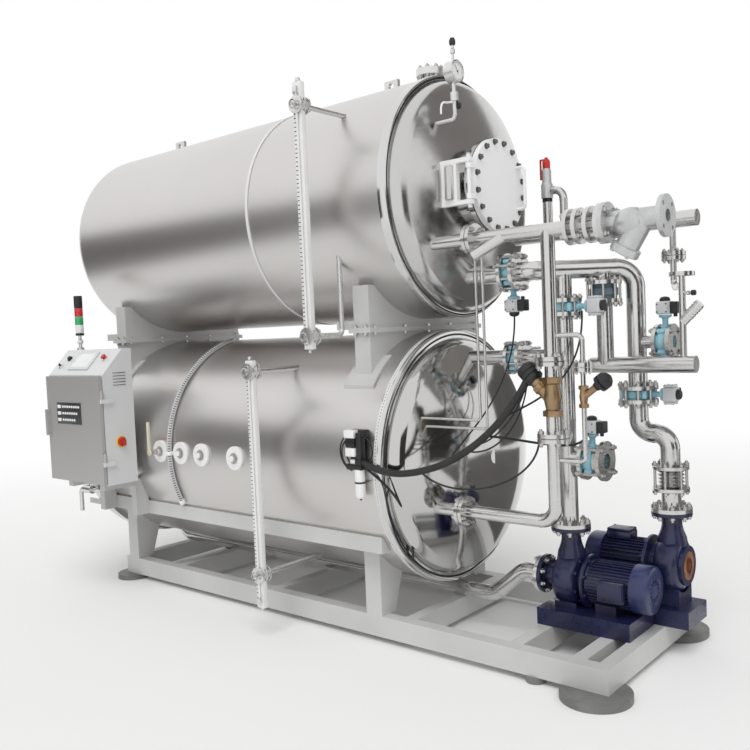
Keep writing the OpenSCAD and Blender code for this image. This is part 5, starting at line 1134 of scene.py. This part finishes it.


# The dark inlays below are painted shade, standing for the duct's slot openings.
bm = bmesh.new()
for i in range(DUCT_SLOTS):
    at = on_duct(DUCT_FROM + (DUCT_TO - DUCT_FROM) * i / (DUCT_SLOTS - 1))
    slot_at = at @ Matrix.Rotation(DUCT_TILT, 4, "Y")
    rounded_box(bm, (-0.0075, -0.0027, 0.0112), (0.0075, 0.0027, 0.0145), 0.0008, slot_at, 1)
keep(bm, "duct_slot_shade", plain_black_and_slot_shade)
bm = bmesh.new()
at = on_duct(pi)
rounded_box(bm, (-0.034, -0.011, -0.0138), (0.034, 0.011, -0.0105), 0.001, at)
duct_collar(bm, pi, 0.0143, 0.019, 0.011)
for side in (-1, 1):
    prism(bm, 0.006, 0.005, at @ Matrix.Translation((side * 0.027, 0, -0.0106)))
for end in (DUCT_FROM, DUCT_TO):
    duct_collar(bm, end, 0.0142, 0.0185, 0.014)
keep(bm, "duct_clamp", white_steel)
print("duct slots:", DUCT_SLOTS)

# %% [markdown]
# ## Signal tower
# The tower on the cabinet has a foot, a jointed stem and stacked lamps: clear, green, red and
# a dark sounder on top. The stem is one turned outline, and each lamp is its own short drum,
# so that it can have its own lens.

# %% Signal tower
TOWER = Matrix.Translation((-1.7, -0.71, 1.51))
LAMP_R = 0.0258
LAMPS = [("tower_base", 0.09, 0.106, black_plastic), ("tower_clear", 0.107, 0.156, clear_lens),
         ("tower_green", 0.157, 0.208, green_lens), ("tower_red", 0.209, 0.262, red_lens),
         ("tower_sounder", 0.263, 0.34, black_plastic)]
turned_piece("tower_stem", satin,
             [(0, 0), (0.022, 0), (0.022, 0.012), (0.018, 0.016), (0.01, 0.018), (0.01, 0.034),
              (0.016, 0.04), (0.02, 0.05), (0.016, 0.06), (0.01, 0.066), (0.01, 0.0895), (0, 0.0895)],
             TOWER, 32, stands_for=["signal_tower"])
for name, low, high, lens in LAMPS:
    turned_piece(name, lens, [(0, low), (LAMP_R - 0.001, low), (LAMP_R, low + 0.002),
                              (LAMP_R, high - 0.002), (LAMP_R - 0.001, high), (0, high)], TOWER, 40)
print("lamps:", len(LAMPS))

# %% [markdown]
# ## Control cabinet
# The door carries a dark legend plate with three rows of small plain studs; it rides on the
# door. The sloping console has a touch screen, a black button, a key switch and a red button,
# and the side has louvres and a red main switch on a yellow ring. Buttons and switches are
# turned on the console's own plane, so its slope is written down only once.

# %% Door plate
DOOR_FRONT = -0.905
PLATE_LOW = Vector((-1.68, DOOR_FRONT - 0.003, 1.065))
PLATE_HIGH = Vector((-1.41, DOOR_FRONT - 0.0002, 1.195))
STUD_ROWS = (8, 7, 6)
boxed_piece("legend_plate", legend_dark, PLATE_LOW, PLATE_HIGH, 0.001, body="cabinet_door")
bm = bmesh.new()
for row, studs in enumerate(STUD_ROWS):
    z = PLATE_HIGH.z - 0.025 - 0.04 * row
    rounded_box(bm, (PLATE_LOW.x + 0.012, PLATE_LOW.y - 0.003, z - 0.01),
                (PLATE_LOW.x + 0.05, PLATE_LOW.y, z + 0.01), 0.001)
    for i in range(studs):
        stud = facing((PLATE_LOW.x + 0.074 + 0.025 * i, PLATE_LOW.y, z), -Y)
        turned(bm, [(0, -0.0005), (0.008, -0.0005), (0.008, 0.002), (0.005, 0.005), (0, 0.006)], stud, 20)
keep(bm, "legend_studs", white_steel, body="cabinet_door")
print("studs:", sum(STUD_ROWS))

# %% Console
CONSOLE = Matrix.Translation((-1.8, -0.88, 1.36)) @ Matrix.Rotation(atan2(0.150, 0.140), 4, "X")
BUTTON, KEY, STOP = (CONSOLE @ Matrix.Translation((x, y, 0))
                     for x, y in ((0.11, 0.13), (0.07, 0.07), (0.50, 0.13)))
boxed_piece("screen_frame", grey_plastic, (0.18, 0.04, 0.0002), (0.40, 0.18, 0.0085), 0.003, CONSOLE, 3,
            stands_for=["cabinet_controls"])
boxed_piece("screen_film", clear_lens, (0.198, 0.056, 0.0083), (0.382, 0.164, 0.0095), 0.0008, CONSOLE)
bm = bmesh.new()
turned(bm, [(0, 0.0002), (0.018, 0.0002), (0.018, 0.006), (0.0155, 0.008), (0.0125, 0.008),
            (0.0125, 0.016), (0.011, 0.0175), (0, 0.0175)], BUTTON, 32)
turned(bm, [(0, 0.0112), (0.009, 0.0112), (0.009, 0.012), (0, 0.012)], KEY, 20)
rounded_box(bm, (-0.0025, -0.009, 0.012), (0.0025, 0.009, 0.024), 0.001, KEY @ Matrix.Rotation(0.6, 4, "Z"))
keep(bm, "console_black_button", black_plastic)
bm = bmesh.new()
turned(bm, [(0, 0.0002), (0.018, 0.0002), (0.018, 0.006), (0.0145, 0.009), (0.0145, 0.011), (0, 0.011)],
       KEY, 32)
turned(bm, [(0.0125, 0.0002), (0.018, 0.0002), (0.018, 0.006), (0.0125, 0.008)], STOP, 32, closed=True)
keep(bm, "console_bezels", satin)
print("console slope:", round(atan2(0.150, 0.140), 3))

# %% Stop button and main switch
SWITCH = facing((-1.2, -0.78, 0.96), X)
bm = bmesh.new()
turned(bm, [(0, 0.0005), (0.0123, 0.0005), (0.0123, 0.014), (0.017, 0.016), (0.0175, 0.0205),
            (0.014, 0.0235), (0, 0.0245)], STOP, 32)
turned(bm, [(0, 0.006), (0.027, 0.006), (0.027, 0.013), (0.024, 0.016), (0, 0.016)], SWITCH, 40)
grip_at = SWITCH @ Matrix.Rotation(0.5, 4, "Z")
rounded_box(bm, (-0.008, -0.0255, 0.015), (0.008, 0.0255, 0.0285), 0.003, grip_at, 3)
keep(bm, "red_switches", red_enamel)
turned_piece("switch_ring", yellow_plastic,
             [(0, 0.0002), (0.034, 0.0002), (0.034, 0.004), (0.032, 0.006), (0, 0.006)], SWITCH, 48)
print("main switch at:", tuple(round(c, 3) for c in SWITCH.translation))

# %% Louvres
LOUVRE_FROM, LOUVRE_TO, LOUVRE_Z, LOUVRES, LOUVRE_STEP = -0.815, -0.725, 1.295, 5, 0.018
CABINET_SIDE = -1.2005
# The dark boxes between the hoods are painted shade, standing for the openings of the louvres.
hoods, slots = bmesh.new(), bmesh.new()
for i in range(LOUVRES):
    z = LOUVRE_Z + LOUVRE_STEP * i
    rounded_box(hoods, (CABINET_SIDE, LOUVRE_FROM, z + 0.0035), (-1.1945, LOUVRE_TO, z + 0.0095), 0.002)
    rounded_box(slots, (CABINET_SIDE, LOUVRE_FROM + 0.003, z), (-1.1993, LOUVRE_TO - 0.003, z + 0.0036),
                0.0004, Matrix(), 1)
keep(hoods, "louvre_hoods", cabinet_paint, slot="cabinet_paint")
keep(slots, "louvre_slot_shade", plain_black_and_slot_shade)
print("louvres:", LOUVRES)

# %% [markdown]
# ## Air valve bank
# Beside the rim sits the bank of pilot valves: pale blocks, dark solenoids and a filter with a
# white bowl. The blocks are rounded boxes on one mounting plate, listed by their corners, and
# only the bowl is turned.

# %% Air valve bank
DARK_BLOCKS = [((0.508, -0.652, 0.902), (0.592, -0.6402, 1.06), 0.002),
               ((0.508, -0.652, 1.055), (0.592, -0.612, 1.088), 0.002),
               ((0.568, -0.682, 0.955), (0.598, -0.6515, 1.078), 0.004),
               ((0.504, -0.684, 0.903), (0.598, -0.6515, 0.93), 0.004),
               ((0.56, -0.684, 0.92), (0.597, -0.6515, 0.956), 0.003)]
PALE_BLOCKS = [((0.5, -0.688, 1.052), (0.562, -0.6515, 1.089), 0.003),
               ((0.508, -0.69, 0.966), (0.566, -0.6515, 1.006), 0.003),
               ((0.524, -0.676, 0.93), (0.556, -0.6515, 0.95), 0.003)]
SOLENOIDS = 4
dark, pale = bmesh.new(), bmesh.new()
for bm, blocks in ((dark, DARK_BLOCKS), (pale, PALE_BLOCKS)):
    for block in blocks:
        rounded_box(bm, *block)
for i in range(SOLENOIDS):
    x = 0.505 + 0.0145 * i
    rounded_box(dark, (x, -0.684, 1.01), (x + 0.0125, -0.6515, 1.049), 0.002)
    drum(dark, 0.0048, 0, 0.01, facing((x + 0.006, -0.684, 1.03), -Y), 12, 0.001)
bowl = Matrix.Translation((0.572, -0.664, 0))
turned(pale, [(0, 0.768), (0.014, 0.769), (0.021, 0.775), (0.0245, 0.785), (0.0245, 0.905), (0, 0.905)],
       bowl, 36)
turned(dark, [(0.0244, 0.84), (0.026, 0.84), (0.026, 0.848), (0.0244, 0.848)], bowl, 36, closed=True)
turned(dark, [(0, 0.76), (0.005, 0.76), (0.006, 0.769), (0, 0.769)], bowl, 16)
keep(dark, "solenoid_bank", black_plastic, slot="black_plastic", stands_for=["air_valve_bank"])
keep(pale, "valve_blocks", white_steel)
print("solenoids:", SOLENOIDS)

# %% [markdown]
# ## Hoses and loom
# The air hoses of the bank loop back into it, and the loom of cables runs from it to the steam
# valve. Hoses and loom are cords that start and end in the object. Each is drawn as the curve
# it hangs in.

# %% Hoses and loom


def arc(centre, wide, tall, start, stop, y, count=24):
    """Points on an upright ellipse from one angle to another."""
    steps = [radians(start + (stop - start) * i / (count - 1)) for i in range(count)]
    return [Vector((centre[0] + wide * cos(a), y, centre[1] + tall * sin(a))) for a in steps]


def lay_cord(name, points, radius):
    """A black cord along the points."""
    line = pipe_curve(name, points, radius, cable_black)
    return line


HOSE_R, LOOM_R = 0.0035, 0.016
HOSES = [((0.545, 0.985), 0.088, 0.09, 118, 258, -0.667), ((0.547, 0.98), 0.072, 0.076, 125, 255, -0.676),
         ((0.55, 0.977), 0.06, 0.062, 135, 250, -0.659), ((0.602, 0.995), 0.052, 0.062, 96, -98, -0.664)]
LOOM = [(0.595, -0.664, 0.938), (0.68, -0.664, 0.912), (0.76, -0.657, 0.9), (0.84, -0.636, 0.903),
        (0.92, -0.605, 0.92), (1.0, -0.568, 0.95), (1.08, -0.53, 1.0), (1.16, -0.495, 1.066),
        (1.235, -0.458, 1.152), (1.29, -0.42, 1.24), (1.325, -0.39, 1.318)]
for number, hose in enumerate(HOSES):
    lay_cord(f"air_hose_{number}", arc(*hose), HOSE_R)
loom = lay_cord("cable_loom_bundle", [Vector(p) for p in LOOM], LOOM_R)
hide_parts("cable_loom")

# %% [markdown]
# ## Bolts of the saddles
# The halves of each saddle are bolted through their split flanges. Small bolts sit along the
# flange, and a larger pair sits at each end of it.

# %% Saddle bolts
SPLIT_Z, SPLIT_GRIP = 1.5531, 0.0243
SADDLE_ROWS = [((-0.44, -0.2, 0.0, 0.2, 0.44), 0.06, 0.009), ((-0.481, 0.481), 0.032, 0.012)]
bm = bmesh.new()
for x in (-1.605, 0.455):
    for row, aside, size in SADDLE_ROWS:
        for y in row:
            for side in (-1, 1):
                bolt_ring(bm, facing((x + side * aside, y, SPLIT_Z), Z), 0, 1, SPLIT_GRIP, size)
print("saddle bolt faces:", len(bm.faces))
keep(bm, "saddle_bolts", bolt_steel)

# %% [markdown]
# ## Cables of the valves
# From the loom a few thin cables leave for the valves and sensors near the retort's head.
# Every one is a smooth cord that starts at the loom and ends in a valve or a gland. A cubic
# with two guide points gives the natural hang with only five values for each cable.

# %% Valve cables


def swing(start, stop, sag, lead, count=22):
    """Points of a hanging cable: a cubic that leaves along lead and dips by sag on the way."""
    start, stop, lead = Vector(start), Vector(stop), Vector(lead)
    first, second = start + lead, stop + Vector((0, 0, -sag))
    points = []
    for i in range(count):
        t = i / (count - 1)
        points.append((1 - t) ** 3 * start + 3 * t * (1 - t) ** 2 * first
                      + 3 * t * t * (1 - t) * second + t ** 3 * stop)
    return points


CABLES = [
    ((1.16, -0.479, 1.066), (1.418, -0.02, 1.07), 0.16, (0.16, 0.12, -0.02), 0.0055),
    ((1.08, -0.514, 1.0), (1.04, 0.105, 1.36), 0.3, (0.02, 0.2, -0.06), 0.004),
    ((1.0, -0.552, 0.95), (1.095, -0.1, 1.60), 0.4, (-0.06, 0.14, 0.06), 0.004),
    ((1.235, -0.442, 1.152), (1.385, 0.015, 1.60), 0.34, (0.05, 0.16, 0.05), 0.0045),
    ((1.12, -0.498, 1.03), (1.055, 0.1, 1.40), 0.24, (-0.03, 0.22, -0.02), 0.004),
    ((0.88, -0.606, 0.912), (1.36, -0.375, 1.06), 0.22, (0.14, 0.05, -0.16), 0.0045),
    ((0.60, -0.664, 0.918), (0.70, -0.45, 0.445), -0.24, (0.20, -0.01, -0.10), 0.006),
]
for number, (*path, radius) in enumerate(CABLES):
    lay_cord(f"valve_cable_{number}", swing(*path), radius)

# %% [markdown]
# ## Small fittings of the bypass
# The gauge cock on the discharge line has a black knob, and the angled relief valve beside it
# is ribbed. The ribs are thin turned rings on the CAD body, which keeps its shape.

# %% Bypass fittings
COCK = facing((1.80, 0.152, 1.655), X)
RELIEF = facing((1.80, 0.152, 1.53), Vector((1, 0, 1)))
RELIEF_RIBS = (0.036, 0.05, 0.064, 0.078, 0.092)
bm = bmesh.new()
turned(bm, [(0, 0.008), (0.006, 0.008), (0.006, 0.02), (0.009, 0.022), (0.009, 0.032), (0.005, 0.034),
            (0.005, 0.04), (0, 0.04)], COCK, 20)
for h in RELIEF_RIBS:
    turned(bm, [(0.0218, h), (0.0245, h + 0.001), (0.0245, h + 0.006), (0.0218, h + 0.007)],
           RELIEF, 32, closed=True)
keep(bm, "bypass_fittings", satin)
turned_piece("cock_knob", black_plastic, disc(0.012, 0.039, 0.06, 0.003), COCK, 24)
print("ribs of the relief valve:", len(RELIEF_RIBS))
